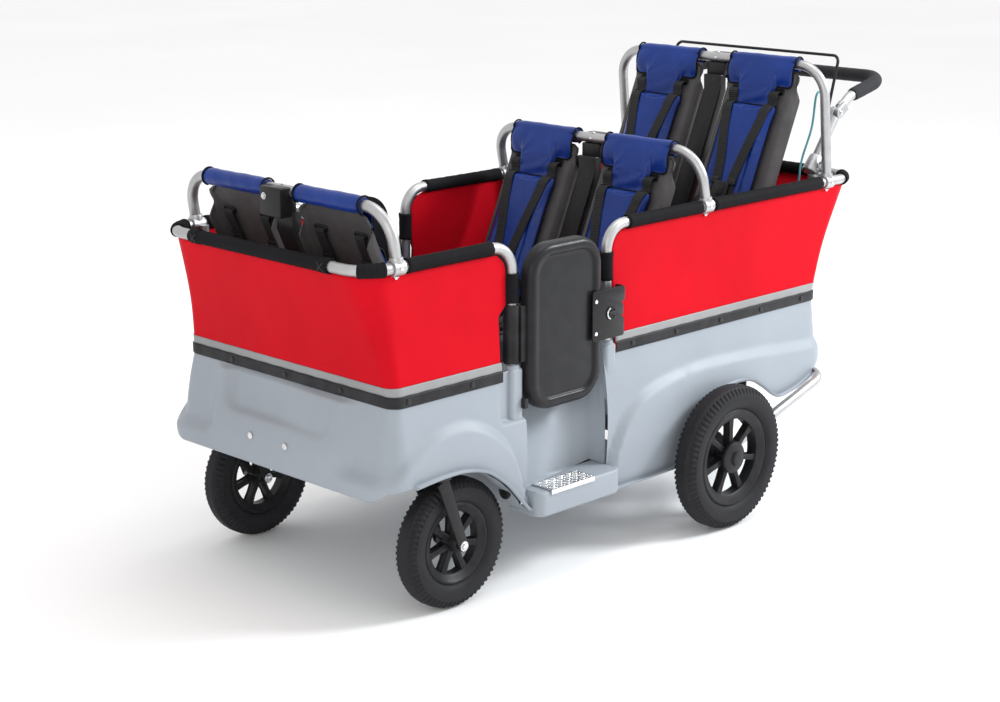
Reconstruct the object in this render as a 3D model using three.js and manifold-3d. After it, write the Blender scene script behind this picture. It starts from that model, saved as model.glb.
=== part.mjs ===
// A six-seat daycare stroller: a moulded tub on two castors and two rear wheels, tube rails and
// hoops above it, cloth sides, two side doors, six padded seats with harnesses and a push handle.
// Millimetres, +Z up, the front faces -Y and the stroller's left side is +X. The origin is on the
// ground in the middle of the overall box. Stations run rearwards from the axis of the front rail.

import * as THREE from 'three';
import { mergeVertices } from 'three/addons/utils/BufferGeometryUtils.js';
import Module from 'manifold-3d';

const wasm = await Module();
wasm.setup();

// Shared clearances and fineness
const clearance = 0.3;
const overrun = 40;
const mergeTolerance = 0.0001;
const tubeSides = 8;
const tubeRadius = 11;
const bendSteps = 4;
const arcSteps = 4;

// Rails
const railHeight = 690;
const railHalfWidth = 300;
const railLength = 1496;
const railCorner = 62;
const postBend = 52;
const frontPostStation = 375;
const rearPostStation = 647;
const postFoot = 381;
const strutRadius = 9;
const strutInset = 22;
const frontStrutShift = 4;
const rearStrutShift = -90;
const strutFootHeight = 32;

// Hoops
const hoopBend = 66;
const frontHoopStation = 77;
const frontHoopLean = -15;
const frontHoopHeight = 798;
const middleHoopStation = 960;
const middleHoopLean = -24;
const middleHoopHeight = 806;
const rearHoopStation = 1390;
const rearHoopLean = -26;
const rearHoopHeight = 950;
const clampRadius = 15.5;
const clampLength = 28;

// Cloth sides, their sleeves round the rails and the binding strips round the tub's rim
const sleeveRadius = 14;
const clothThickness = 2;
const clothBow = 5;
const clothGap = 0.3;
const stripThickness = 3;
const stripBottom = 440;
const stripTop = 462;
const loopHeight = 58;
const frontLoopFoot = 577;
const rearLoopFoot = 579;
const frontClothEdge = 37;
const rearClothEdge = 20;
const clothNotch = 24;
const sleeveLap = 2;
const sleeveGap = 7;
const frontSleeveHalf = 222;

// Moulded tub
const rimHeight = 445;
const rimHalfWidth = 308.4;
const rimFrontStation = 59;
const rimRearStation = 1350;
const tubBottom = 140;
const tubWall = 7;
const sideBulge = 34;
const frontBulge = 50;
const rearBulge = 20;
const rimCorner = 34;
const cornerBulge = 42;
const floorThickness = 8;
const frontFloor = 305;
const wellFloor = 153;
const rearFloor = 314;
const wellRear = 884;
const archFloorEnd = 230;
const sillHeight = 360;
const recessDepth = 34;
const bossRadius = 18;
const bossFoot = 300;
const bossTop = 455;
const doorPillar = 40;
const doorPillarFoot = 346;
const proudTopGap = 1;
const ledgeHeight = 198;
const ledgeFoot = 152;
const ledgeReach = 364;
const ledgeCorner = 26;
const panelHalfWidth = 142;
const panelFoot = 357;
const panelDepth = 46;
const panelCorner = 34;
const pillarOuter = 195;

// Step plates
const plateThickness = 3;
const plateLength = 126;
const plateInset = 4;
const plateLip = 11;
const plateStation = 484;
const plateBars = 5;
const plateBarWidth = 6;
const plateBarHeight = 1.5;

// Castors and wheels
const castorStation = 156;
const castorHalfTrack = 298;
const castorTrail = 54;
const frontTyreRadius = 130;
const frontTyreWidth = 52;
const frontRimRadius = 78;
const frontRimBand = 15;
const frontRimDepth = 30;
const frontHubRadius = 18;
const frontHubHalf = 28;
const forkGap = 33;
const forkThickness = 5;
const crownTop = 279;
const crownThickness = 6;
const crownHalf = 16;
const stemRadius = 11;
const stemTop = 334;
const boltRadius = 6;
const boltHeadRadius = 10;
const boltHeadHeight = 5;
const crossbarThickness = 10;
const crossbarHalf = 302;
const crossbarReach = 32;
const cupRadius = 21;
const cupTop = 338;
const rearWheelStation = 952;
const rearHalfTrack = 384;
const rearTyreRadius = 157;
const rearTyreWidth = 56;
const rearRimRadius = 102;
const rearRimBand = 18;
const rearRimDepth = 34;
const rearHubRadius = 22;
const rearHubHalf = 31;
const hubFaceRadius = 35;
const hubFaceDepth = 18;
const hubCapRadius = 15;
const hubCapHeight = 5;
const axleRadius = 8;
const axleEnd = 402;
const spokeCount = 7;
const spokeWidth = 15;
const spokeDepth = 18;
const spokeRoot = 4;
const wheelSegments = 20;

// Rear frame and brakes
const frameHalfWidth = 292;
const frameFrontStation = 925;
const frameFrontHeight = 80;
const frameRearStation = 1425;
const frameRearHeight = 233;
const frameCorner = 46;
const bracketThickness = 6;
const bracketFront = 905;
const bracketRear = 1010;
const bracketFlange = 24;
const brakeRadius = 46;
const brakeDepth = 22;
const brakeInner = 326;
const brakeArmWidth = 16;
const brakeArmLength = 62;
const brakeArmThickness = 5;

// Doors, hinges and latches
const doorWidth = 208;
const doorHeight = 334;
const doorFoot = 352;
const doorFrontStation = 395;
const doorInner = 306;
const doorThickness = 27;
const doorCorner = 62;
const doorBevel = 5;
const doorRim = 17;
const doorGroove = 6;
const doorGrooveDepth = 5;
const hingeRadius = 17;
const hingeFoot = 457;
const hingeTop = 573;
const hingeWingReach = 440;
const hingeWingThickness = 5;
const hingeWingInset = 12;
const latchFrontStation = 569;
const latchRearStation = 665;
const latchFoot = 468;
const latchTop = 571;
const latchThickness = 3;
const latchTabDepth = 24;
const latchTabHeight = 26;
const latchKnobStation = 622;
const latchKnobHeight = 520;
const latchKnobRadius = 12;
const latchKnobDepth = 9;
const latchPinRadius = 4;
const latchHookWidth = 9;
const latchHookLength = 15;

// Seats
const seatHalfPitch = 139;
const seatWidth = 190;
const seatRecline = 24;
const seatBack = 396;
const seatTopGap = 18;
const seatPan = 186;
const seatPanRise = 3;
const shellThickness = 6;
const shellFlange = 26;
const flangeTopDrop = 34;
const flangeChamfer = 26;
const flangeFootRise = 20;
const slotDrop = 68;
const slotSpread = 68;
const slotWidth = 26;
const slotHeight = 6;
const padWidth = 174;
const padThickness = 17;
const padCrown = 7;
const padTopDrop = 88;
const padHipGap = 12;
const neckWidth = 96;
const neckThickness = 9;
const flapWidth = 188;
const flapThickness = 12;
const flapLength = 60;
const wrapRadius = 17;
const channelShare = 0.62;
const edgeShare = 0.45;
const drawIn = 5;
const pillowColumns = 8;
const pillowRows = 3;
const cushionRows = 2;
const hipWebWidth = 150;
const hipWebReach = 34;
const hipWebThickness = 6;
const webWidth = 21;
const webThickness = 2;
const webGap = 0.5;
const buckleWidth = 42;
const buckleHeight = 46;
const buckleThickness = 9;
const buckleRise = 96;
const waistRise = 40;
const webFootSpread = 24;
const crotchReach = 92;

// Seat carriers
const carrierWidth = 26;
const carrierDepth = 24;
const carrierSetback = 22;
const carrierFootWidth = 56;
const carrierFootThickness = 5;
const carrierArmThickness = 20;
const crossTubeRadius = 11;
const crossTubeReach = 92;
const crossTubeHalf = 226;
const barBlockWidth = 60;
const barBlockTop = 14;
const barBlockFoot = 38;
const barBlockDepth = 36;

// Handle, grip, bail and cable
const handleHalfWidth = 265;
const socketLead = 18;
const socketHeight = 708;
const socketLength = 44;
const socketRadius = 20;
const socketBracketTop = 707;
const socketBracketThickness = 12;
const knuckleReach = 95;
const knuckleDrop = 114;
const knuckleRadius = 13;
const knuckleThickness = 12;
const elbowReach = 48;
const elbowRise = 33;
const elbowBend = 40;
const gripReach = 183;
const gripRise = 64;
const gripRadius = 15.5;
const gripBend = 52;
const gripLegStart = 10;
const bailRadius = 3.5;
const bailHalfWidth = 240;
const bailReach = 36;
const bailRise = 124;
const bailBend = 16;
const eyeRadius = 10;
const cableRadius = 2.5;
const cableSteps = 48;
const cableSides = 8;
const cableHoleX = 262;
const cableHoleStation = 1240;
const cableStartDrop = 45;

// Places that the brake cable passes, as (x, station, height) from the knuckle, from where its line
// meets the rail, from its hole in the rear floor, and from the middle of the brake
const cableByKnuckle = [[0, -57, 10], [1, -63, 44], [2, -74, 54], [2, -85, 40]];
const cableByRail = [[4, -18, 120], [1, -46, 52], [0, -54, 0], [0, -72, -100], [0, -104, -210]];
const cableByHole = [[0, 14, 76], [0, 0, 24], [0, 0, -8], [0, -8, -30], [0, -40, -40], [4, -110, -38],
  [23, -180, -34]];
const cableByBrake = [[-19, 52, 119], [-2, 14, 93], [0, 0, 65]];

// Places worked out from the sizes above
const socketStation = rearHoopStation - socketLead;
const knuckleStation = socketStation + knuckleReach;
const knuckleHeight = rearHoopHeight - knuckleDrop;
const gripStation = knuckleStation + gripReach;
const gripHeight = knuckleHeight + gripRise;
const originStation = (gripStation + gripRadius - sleeveRadius) / 2;
const recessX = rimHalfWidth - recessDepth;
const tubDepth = rimHeight - tubBottom;
const tubFrontStation = rimFrontStation - frontBulge;
const tubLength = rimRearStation + rearBulge - tubFrontStation;
const underFloorFront = frontFloor - floorThickness;
const underFloorRear = rearFloor - floorThickness;
const recline = THREE.MathUtils.degToRad(seatRecline);
const panRise = THREE.MathUtils.degToRad(seatPanRise);
const fineSides = tubeSides + tubeSides;
const roundCut = 1 / Math.cos(Math.PI / tubeSides);
const fineCut = 1 / Math.cos(Math.PI / fineSides);
const tubeBore = tubeRadius + clearance * roundCut;
const tiltedBore = (tubeRadius + clearance) * roundCut;
const turningBore = (tubeRadius + clearance) * fineCut;
const farX = rimHalfWidth + sideBulge + overrun;
const lidHeight = rimHeight + overrun;
const yAt = (station) => station - originStation;
const at = (x, station, height) => new THREE.Vector3(x, yAt(station), height);
const acrossX = (point) => new THREE.Vector3(-point.x, point.y, point.z);
const sides = [{ side: 'left', sign: 1 }, { side: 'right', sign: -1 }];

// Solids: joined and cut by whole pieces
function cleaned(geometry) {
  const bare = geometry.clone();
  for (const name of Object.keys(bare.attributes)) {
    if (name !== 'position') bare.deleteAttribute(name);
  }
  const merged = mergeVertices(bare, mergeTolerance);
  const corners = merged.index.array;
  const kept = [];
  const [a, b, c] = [new THREE.Vector3(), new THREE.Vector3(), new THREE.Vector3()];
  let volume = 0;
  for (let k = 0; k < corners.length; k += 3) {
    const face = [corners[k], corners[k + 1], corners[k + 2]];
    if (new Set(face).size < face.length) continue;
    [a, b, c].forEach((corner, n) => corner.fromBufferAttribute(merged.attributes.position, face[n]));
    volume += a.dot(b.cross(c));
    kept.push(face);
  }
  merged.setIndex((volume < 0 ? kept.map((face) => face.reverse()) : kept).flat());
  return merged;
}

function solid(geometry) {
  const shell = cleaned(geometry);
  return new wasm.Manifold(new wasm.Mesh({
    numProp: 3,
    vertProperties: Float32Array.from(shell.attributes.position.array),
    triVerts: Uint32Array.from(shell.index.array),
  }));
}

function geometryOf(body) {
  const mesh = body.getMesh();
  const geometry = new THREE.BufferGeometry();
  geometry.setAttribute('position', new THREE.BufferAttribute(Float32Array.from(mesh.vertProperties), 3));
  geometry.setIndex(new THREE.BufferAttribute(Uint32Array.from(mesh.triVerts), 1));
  return geometry;
}

const joined = (...pieces) => geometryOf(pieces.map(solid).reduce((whole, piece) => whole.add(piece)));
const cutFrom = (piece, ...cutters) => geometryOf(
  cutters.map(solid).reduce((rest, cutter) => rest.subtract(cutter), solid(piece)));
const common = (first, second) => geometryOf(solid(first).intersect(solid(second)));
const mirrored = (geometry) => cleaned(geometry.clone().scale(-1, 1, 1));

// Outlines
const outline = (points) => new THREE.Shape(points.map(([a, b]) => new THREE.Vector2(a, b)));

function ring(radius, sides = tubeSides) {
  return Array.from({ length: sides }, (_, k) => {
    const angle = ((k + 0.5) / sides) * Math.PI * 2;
    return [radius * Math.cos(angle), radius * Math.sin(angle)];
  });
}

function roundedRectangle(low, high, radius, steps = arcSteps) {
  const [left, foot] = low;
  const [right, top] = high;
  const centres = [[right - radius, top - radius], [left + radius, top - radius],
    [left + radius, foot + radius], [right - radius, foot + radius]];
  return centres.flatMap(([a, b], quarter) => Array.from({ length: steps + 1 }, (_, k) => {
    const angle = (quarter + k / steps) * Math.PI / 2;
    return [a + radius * Math.cos(angle), b + radius * Math.sin(angle)];
  }));
}

// A band beside a line of points, between two distances to its left, with its ends cut square
function band(points, near, far) {
  const side = (distance) => points.map(([a, b], k) => {
    const [before, after] = [points[Math.max(k - 1, 0)], points[Math.min(k + 1, points.length - 1)]];
    const into = new THREE.Vector2(a - before[0], b - before[1]).normalize();
    const out = new THREE.Vector2(after[0] - a, after[1] - b).normalize();
    if (k === 0) into.copy(out);
    if (k === points.length - 1) out.copy(into);
    const mean = into.clone().add(out).normalize();
    const reach = distance / mean.dot(into);
    return [a - mean.y * reach, b + mean.x * reach];
  });
  return [...side(far).reverse(), ...side(near)];
}

// Slabs: an outline drawn square to one axis and given a thickness along it
const yzToX = new THREE.Matrix4().set(0, 0, 1, 0, 1, 0, 0, 0, 0, 1, 0, 0, 0, 0, 0, 1);
const extruded = (shape, depth) => new THREE.ExtrudeGeometry(shape, { depth, bevelEnabled: false });
const slabX = (points, low, high) => extruded(outline(points), high - low).applyMatrix4(yzToX)
  .translate(low, 0, 0);
const slabY = (points, low, high) => extruded(outline(points), high - low).rotateX(Math.PI / 2)
  .translate(0, high, 0);
const slabZ = (points, low, high) => extruded(outline(points), high - low).translate(0, 0, low);
const block = (low, high) => new THREE.BoxGeometry(...high.map((value, k) => value - low[k]))
  .translate(...high.map((value, k) => (value + low[k]) / 2));
const drumX = (radius, low, high, sides = tubeSides) => slabX(ring(radius, sides), low, high);

// A section swept through chosen stations, with a ring of it at each station
class Route extends THREE.Curve {
  constructor(points) {
    super();
    this.points = points;
  }

  getPoint(t, target = new THREE.Vector3()) {
    const place = Math.min(Math.max(t, 0), 1) * (this.points.length - 1);
    const k = Math.min(Math.floor(place), this.points.length - 2);
    return target.lerpVectors(this.points[k], this.points[k + 1], place - k);
  }

  getPointAt(u, target) {
    return this.getPoint(u, target);
  }

  getTangentAt(u, target = new THREE.Vector3()) {
    const k = Math.round(u * (this.points.length - 1));
    const before = this.points[Math.max(k - 1, 0)];
    const after = this.points[Math.min(k + 1, this.points.length - 1)];
    const here = this.points[k];
    const into = here.clone().sub(before).normalize();
    const out = after.clone().sub(here).normalize();
    return target.copy(into).add(out).normalize();
  }

  getSpacedPoints() {
    return this.points.map((point) => point.clone());
  }
}

function swept(points, radius, bore = 0, sides = tubeSides) {
  const shape = outline(ring(radius, sides));
  if (bore > 0) shape.holes.push(new THREE.Path(outline(ring(bore, sides)).getPoints()));
  return new THREE.ExtrudeGeometry(shape, {
    steps: points.length - 1, extrudePath: new Route(points), bevelEnabled: false,
  });
}

// The corners of a bent tube, each turned into an arc
function bent(corners, radii, steps = bendSteps) {
  const points = [corners[0]];
  for (let k = 1; k < corners.length - 1; k += 1) {
    const radius = radii[k - 1];
    const back = corners[k - 1].clone().sub(corners[k]).normalize();
    const on = corners[k + 1].clone().sub(corners[k]).normalize();
    const half = back.angleTo(on) / 2;
    const start = corners[k].clone().addScaledVector(back, radius / Math.tan(half));
    const centre = corners[k].clone()
      .addScaledVector(back.clone().add(on).normalize(), radius / Math.sin(half));
    const arm = start.clone().sub(centre);
    for (let n = 0; n <= steps; n += 1) {
      const turn = (Math.PI - 2 * half) * n / steps;
      points.push(centre.clone().addScaledVector(arm, Math.cos(turn))
        .addScaledVector(back, -radius * Math.sin(turn)));
    }
  }
  points.push(corners[corners.length - 1]);
  return points;
}

// A stack of like outlines, one above the other
function lofted(sections) {
  const key = (x, y) => `${Math.fround(x)},${Math.fround(y)}`;
  const geometry = new THREE.ExtrudeGeometry(outline(sections[0].points), {
    depth: sections.length - 1, steps: sections.length - 1, bevelEnabled: false,
  });
  const order = new Map(sections[0].points.map(([x, y], k) => [key(x, y), k]));
  const place = geometry.attributes.position;
  for (let v = 0; v < place.count; v += 1) {
    const section = sections[Math.round(place.getZ(v))];
    const [x, y] = section.points[order.get(key(place.getX(v), place.getY(v)))];
    place.setXYZ(v, x, y, section.height);
  }
  return geometry;
}

// Every piece is a named mesh with its own finish
const finishes = {
  shell: { color: 0xa9b4bf, roughness: 0.45, metalness: 0 },
  aluminium: { color: 0xc4c6c8, roughness: 0.35, metalness: 0.9 },
  steel: { color: 0x8c8f92, roughness: 0.4, metalness: 0.9 },
  red: { color: 0xd8202c, roughness: 0.85, metalness: 0 },
  black: { color: 0x232427, roughness: 0.6, metalness: 0 },
  blackSteel: { color: 0x1b1c1e, roughness: 0.45, metalness: 0.4 },
  grey: { color: 0x6a686c, roughness: 0.55, metalness: 0 },
  blue: { color: 0x223f96, roughness: 0.4, metalness: 0 },
  webbing: { color: 0x18181a, roughness: 0.9, metalness: 0 },
  rubber: { color: 0x242427, roughness: 0.85, metalness: 0 },
  foam: { color: 0x2a2a2c, roughness: 0.95, metalness: 0 },
  cable: { color: 0x3f7f86, roughness: 0.5, metalness: 0 },
};

function piece(name, geometry, finish) {
  const mesh = new THREE.Mesh(cleaned(geometry), new THREE.MeshStandardMaterial(finishes[finish]));
  mesh.name = name;
  return mesh;
}

const stroller = new THREE.Group();
const add = (name, geometry, finish) => stroller.add(piece(name, geometry, finish));
const addPair = (name, geometry, finish) => sides.forEach(({ side, sign }) => {
  add(`${name}_${side}`, sign > 0 ? geometry : mirrored(geometry), finish);
});
const bothSides = (geometry) => [geometry, mirrored(geometry)];

// Moulded tub

// Growth of the plan outline with height, as shares of the bulge: the full body and its set-back parts
const fullGrowthShares = [[0, 0.55], [0.2, 0.85], [0.36, 1], [0.56, 0.97], [0.76, 0.62], [1, 0.25]];
const setBackGrowthShares = [[0, 0.3], [0.5, 0.32], [0.96, 0], [1, 0]];

// The side view's lower edge, and the line above which the sides are set back, as shares of the
// tub's length and depth
const lowerEdgeShares = [[-0.05, 0.33], [0, 0.335], [0.006, 0.37], [0.014, 0.42], [0.0375, 0.44],
  [0.065, 0.456], [0.105, 0.469], [0.143, 0.465], [0.182, 0.423], [0.212, 0.338], [0.233, 0.259],
  [0.258, 0.144], [0.278, 0.062], [0.304, 0.016], [0.337, 0], [0.616, 0.01], [0.63, 0.033],
  [0.636, 0.148], [0.648, 0.269], [0.672, 0.387], [0.705, 0.479], [0.741, 0.518], [0.782, 0.52],
  [0.822, 0.46], [0.851, 0.375], [0.875, 0.3], [0.888, 0.268], [0.905, 0.262], [0.935, 0.305],
  [0.959, 0.389], [0.985, 0.5], [1, 0.6], [1.05, 0.6]];
const frontWaveShares = [[-0.05, 0.515], [0.01, 0.515], [0.029, 0.541], [0.051, 0.607], [0.084, 0.695],
  [0.117, 0.764], [0.143, 0.78], [0.168, 0.761], [0.201, 0.695], [0.227, 0.59], [0.248, 0.475],
  [0.262, 0.328], [0.27, 0.197], [0.3, 0.12]];
const rearWaveShares = [[0.44, 0.12], [0.462, 0.164], [0.47, 0.311], [0.483, 0.443], [0.506, 0.551],
  [0.536, 0.623], [0.594, 0.682], [0.668, 0.711], [0.8, 0.692], [0.926, 0.649], [1.05, 0.63]];

function tubPlan(growth, inset) {
  const half = rimHalfWidth + sideBulge * growth - inset;
  return roundedRectangle(
    [-half, yAt(rimFrontStation - frontBulge * growth + inset)],
    [half, yAt(rimRearStation + rearBulge * growth - inset)],
    rimCorner + cornerBulge * growth - inset,
  );
}

const tubLoft = (shares, inset, raise) => lofted(shares.map(([rise, growth]) => ({
  height: tubBottom + rise * (tubDepth + raise) - (rise === 0 ? raise : 0), points: tubPlan(growth, inset),
})));
const sidePoint = ([length, rise]) => [yAt(tubFrontStation + length * tubLength),
  tubBottom + rise * tubDepth];

function aboveLine(shares) {
  const line = shares.map(sidePoint);
  return [...line, [line[line.length - 1][0], lidHeight], [line[0][0], lidHeight]];
}

// The full body, set back above the side waves and in the middle of the front
function tubOuter() {
  const underStrip = block([-farX, yAt(tubFrontStation) - overrun, stripBottom - proudTopGap],
    [farX, yAt(tubFrontStation + tubLength) + overrun, lidHeight]);
  const proud = cutFrom(
    tubLoft(fullGrowthShares, 0, 0),
    underStrip,
    ...bothSides(slabX(aboveLine(frontWaveShares), pillarOuter, farX)),
    slabX(aboveLine(rearWaveShares), -farX, farX),
    slabY(roundedRectangle([-panelHalfWidth, panelFoot], [panelHalfWidth, lidHeight], panelCorner),
      yAt(tubFrontStation) - overrun, yAt(tubFrontStation) + panelDepth),
  );
  const body = joined(proud, tubLoft(setBackGrowthShares, 0, 0));
  const ledge = slabZ(roundedRectangle([recessX, yAt(frontPostStation + bossRadius)],
    [ledgeReach, yAt(rearPostStation - bossRadius)], ledgeCorner), ledgeFoot, ledgeHeight);
  return joined(common(body, slabX(aboveLine(lowerEdgeShares), -farX, farX)), ...bothSides(ledge));
}

// The cabin: everything above the floors and inside the walls
const cabinFloorShares = [[-0.05, 1], [0.165, 1], [0.195, 0.885], [0.221, 0.68], [0.245, 0.47],
  [0.283, 0.127], [0.306, 0]];

function tubCabin() {
  const front = cabinFloorShares.map(([length, rise]) => [yAt(tubFrontStation + length * tubLength),
    wellFloor + rise * (frontFloor - wellFloor)]);
  const profile = [...front, [yAt(wellRear) - tubWall - tubWall, wellFloor], [yAt(wellRear), rearFloor],
    [yAt(rimRearStation) + overrun, rearFloor], [yAt(rimRearStation) + overrun, lidHeight],
    [front[0][0], lidHeight]];
  const doorWall = block([recessX - tubWall, yAt(frontPostStation - doorPillar) - tubWall, tubBottom],
    [farX, yAt(rearPostStation - bossRadius) + tubWall, lidHeight + overrun]);
  return cutFrom(common(tubLoft(setBackGrowthShares, tubWall, overrun), slabX(profile, -farX, farX)),
    ...bothSides(doorWall));
}

// The hollows under the front and rear floors
function tubUndersides() {
  const within = tubLoft(setBackGrowthShares, tubWall, overrun);
  const frontHollow = block([-farX, yAt(tubFrontStation), tubBottom - overrun],
    [farX, yAt(archFloorEnd), underFloorFront]);
  const rearHollow = block([-farX, yAt(wellRear) + floorThickness, tubBottom - overrun],
    [farX, yAt(rimRearStation) + overrun, underFloorRear]);
  return [common(within, frontHollow), common(within, rearHollow)];
}

// The step recesses below the doors, the doorways and the room that each door's edge swings through
function doorRooms() {
  const [low, high] = [yAt(frontPostStation + bossRadius), yAt(rearPostStation - bossRadius)];
  return [
    block([recessX, low, ledgeHeight], [farX, high, lidHeight]),
    block([recessX - overrun, low, sillHeight], [farX, high, lidHeight]),
    block([recessX + tubWall, low + tubWall, tubBottom - overrun],
      [rimHalfWidth + tubWall, high - tubWall, ledgeHeight - floorThickness]),
    block([rimHalfWidth, yAt(frontPostStation - doorPillar), doorPillarFoot],
      [farX, low + tubWall, lidHeight]),
  ].flatMap(bothSides);
}

const postPlaces = [frontPostStation, rearPostStation].flatMap((station) => sides.map(({ sign }) => (
  [sign * railHalfWidth, yAt(station), 0])));

function bodyTub() {
  const shell = cutFrom(tubOuter(), tubCabin(), ...tubUndersides(), ...doorRooms());
  const bosses = postPlaces.map((place) => slabZ(ring(bossRadius, fineSides), bossFoot, bossTop)
    .translate(...place));
  const bores = postPlaces.map((place) => slabZ(ring(tubeBore), postFoot - clearance, bossTop + overrun)
    .translate(...place));
  const stemHole = slabZ(ring((cupRadius + clearance) * roundCut), underFloorFront - overrun,
    frontFloor + overrun).translate(castorHalfTrack, yAt(castorStation), 0);
  const cableHole = slabZ(ring(cableRadius + cableRadius), underFloorRear - overrun, rearFloor + overrun)
    .translate(cableHoleX, yAt(cableHoleStation), 0);
  return cutFrom(joined(shell, ...bosses), ...bores, ...bothSides(stemHole), cableHole);
}

add('body_tub', bodyTub(), 'shell');

// Step plates on the ledges, with grip bars on top and a lip over the edge
function stepPlate() {
  const [low, high] = [yAt(plateStation - plateLength / 2), yAt(plateStation + plateLength / 2)];
  const [foot, top] = [ledgeHeight + clearance, ledgeHeight + clearance + plateThickness];
  const lipInner = ledgeReach + clearance;
  const inner = rimHalfWidth + plateInset;
  const bars = Array.from({ length: plateBars }, (_, k) => {
    const middle = low + (high - low) * (k + 1) / (plateBars + 1);
    return block([inner + plateInset, middle - plateBarWidth / 2, top],
      [ledgeReach - plateInset, middle + plateBarWidth / 2, top + plateBarHeight]);
  });
  return joined(block([inner, low, foot], [lipInner + plateThickness, high, top]),
    block([lipInner, low, top - plateLip], [lipInner + plateThickness, high, top]), ...bars);
}

addPair('step_plate', stepPlate(), 'aluminium');

// Rails: two loops of tube, each on two posts that stand in the tub's bosses
function railPath(postStation, endStation) {
  const near = [at(railHalfWidth, postStation, postFoot), at(railHalfWidth, postStation, railHeight),
    at(railHalfWidth, endStation, railHeight)];
  return bent([...near, ...near.map(acrossX).reverse()], [postBend, railCorner, railCorner, postBend]);
}

add('front_rail', swept(railPath(frontPostStation, 0), tubeRadius), 'aluminium');
add('rear_rail', swept(railPath(rearPostStation, railLength), tubeRadius), 'aluminium');

// Cloth sides with their sleeves round the rails
const clothTop = railHeight - sleeveRadius + sleeveLap;
const clothRiseShares = [0, 0.3, 0.65, 1];
const cornerSleeveShare = 0.3;
const mix = THREE.MathUtils.lerp;

function clothPlan(rise, offset) {
  const bow = clothBow * Math.sin(Math.PI * rise);
  const out = offset - bow;
  const middle = clothThickness / 2;
  const half = mix(rimHalfWidth + clothGap, railHalfWidth - middle, rise) + out;
  return roundedRectangle(
    [-half, yAt(mix(rimFrontStation - clothGap, middle, rise) - out)],
    [half, yAt(mix(rimRearStation + clothGap, railLength - middle, rise) + out)],
    mix(rimCorner + clothGap, railCorner - middle, rise) + out,
  );
}

const clothLoft = (offset, extra) => lofted([
  { height: stripBottom - extra, points: clothPlan(0, offset) },
  ...clothRiseShares.map((rise) => ({
    height: mix(stripTop, clothTop, rise) + (rise === 1 ? extra : 0), points: clothPlan(rise, offset),
  })),
]);

// The side view of the cloth beside a post: towards is -1 where the cloth lies in front of it
function clothSide({ post, towards, edge, foot, end }) {
  const lap = sleeveRadius - sleeveLap;
  const centre = railHeight - postBend;
  const arc = Array.from({ length: arcSteps + 1 }, (_, k) => {
    const angle = k / arcSteps * Math.PI / 2;
    const reach = postBend - lap;
    return [post + towards * (postBend - reach * Math.cos(angle)), centre + reach * Math.sin(angle)];
  });
  const line = [[end, stripBottom - overrun], [post + towards * edge, stripBottom - overrun],
    [post + towards * edge, stripTop], [post + towards * Math.min(edge, clothNotch), foot],
    [post + towards * lap, foot], ...arc, [post + towards * postBend, railHeight + overrun],
    [end, railHeight + overrun]];
  return slabX(line.map(([station, height]) => [yAt(station), height]), -farX, farX);
}

const sleeve = (points) => swept(points, sleeveRadius, tubeBore);
const sideSleeve = (...stations) => sleeve(stations.map((station) => at(railHalfWidth, station, railHeight)));
const postLoop = (post, foot) => sleeve([foot, foot + loopHeight].map((height) => (
  at(railHalfWidth, post, height))));

function cornerSleeve(end, inward) {
  const arc = bent([at(railHalfWidth, end + inward, railHeight), at(railHalfWidth, end, railHeight),
    at(0, end, railHeight)], [railCorner]).slice(1, -1);
  arc[0].lerp(arc[1], cornerSleeveShare);
  return sleeve(arc);
}

const clampRoom = (station) => slabY(ring(clampRadius + sleeveLap),
  yAt(station - clampLength / 2) - sleeveLap,
  yAt(station + clampLength / 2) + sleeveLap).translate(railHalfWidth, 0, railHeight);

function clothPanel(side, sleeves, clamps) {
  const wall = cutFrom(clothLoft(clothThickness, 0), clothLoft(0, overrun));
  const cut = cutFrom(common(wall, clothSide(side)), ...clamps.map(clampRoom).flatMap(bothSides));
  return joined(cut, ...sleeves);
}

const clampEnd = clampLength / 2 + sleeveGap;
const frontSleeves = [
  sleeve([at(-frontSleeveHalf, 0, railHeight), at(frontSleeveHalf, 0, railHeight)]),
  ...[cornerSleeve(0, railCorner + railCorner),
    sideSleeve(frontHoopStation + clampEnd, frontPostStation - postBend - sleeveGap),
    postLoop(frontPostStation, frontLoopFoot)].flatMap(bothSides),
];
const rearSleeves = [
  sleeve([at(-frontSleeveHalf, railLength, railHeight), at(frontSleeveHalf, railLength, railHeight)]),
  ...[cornerSleeve(railLength, -railCorner - railCorner),
    sideSleeve(rearPostStation + postBend + sleeveGap, middleHoopStation - clampEnd),
    sideSleeve(middleHoopStation + clampEnd, rearHoopStation - clampEnd - sleeveGap),
    postLoop(rearPostStation, rearLoopFoot)].flatMap(bothSides),
];
const frontCloth = {
  post: frontPostStation, towards: -1, edge: frontClothEdge, foot: frontLoopFoot, end: -overrun,
};
const rearCloth = {
  post: rearPostStation, towards: 1, edge: rearClothEdge, foot: rearLoopFoot, end: railLength + overrun,
};
add('front_panel', clothPanel(frontCloth, frontSleeves, [frontHoopStation]), 'red');
add('rear_panel', clothPanel(rearCloth, rearSleeves, [middleHoopStation, rearHoopStation]), 'red');

// Binding strips that hold the cloth to the rim
const stripInset = clothGap + clothThickness + clearance;
const strip = cutFrom(slabZ(tubPlan(0, -stripInset - stripThickness), stripBottom, stripTop),
  slabZ(tubPlan(0, -stripInset), stripBottom - overrun, stripTop + overrun));
const stripPart = (low, high) => common(strip, block([-farX, low, stripBottom - overrun],
  [farX, high, stripTop + overrun]));
add('front_binding', stripPart(yAt(-overrun), yAt(frontPostStation - frontClothEdge)), 'black');
add('rear_binding', stripPart(yAt(rearPostStation + rearClothEdge), yAt(railLength)), 'black');

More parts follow.
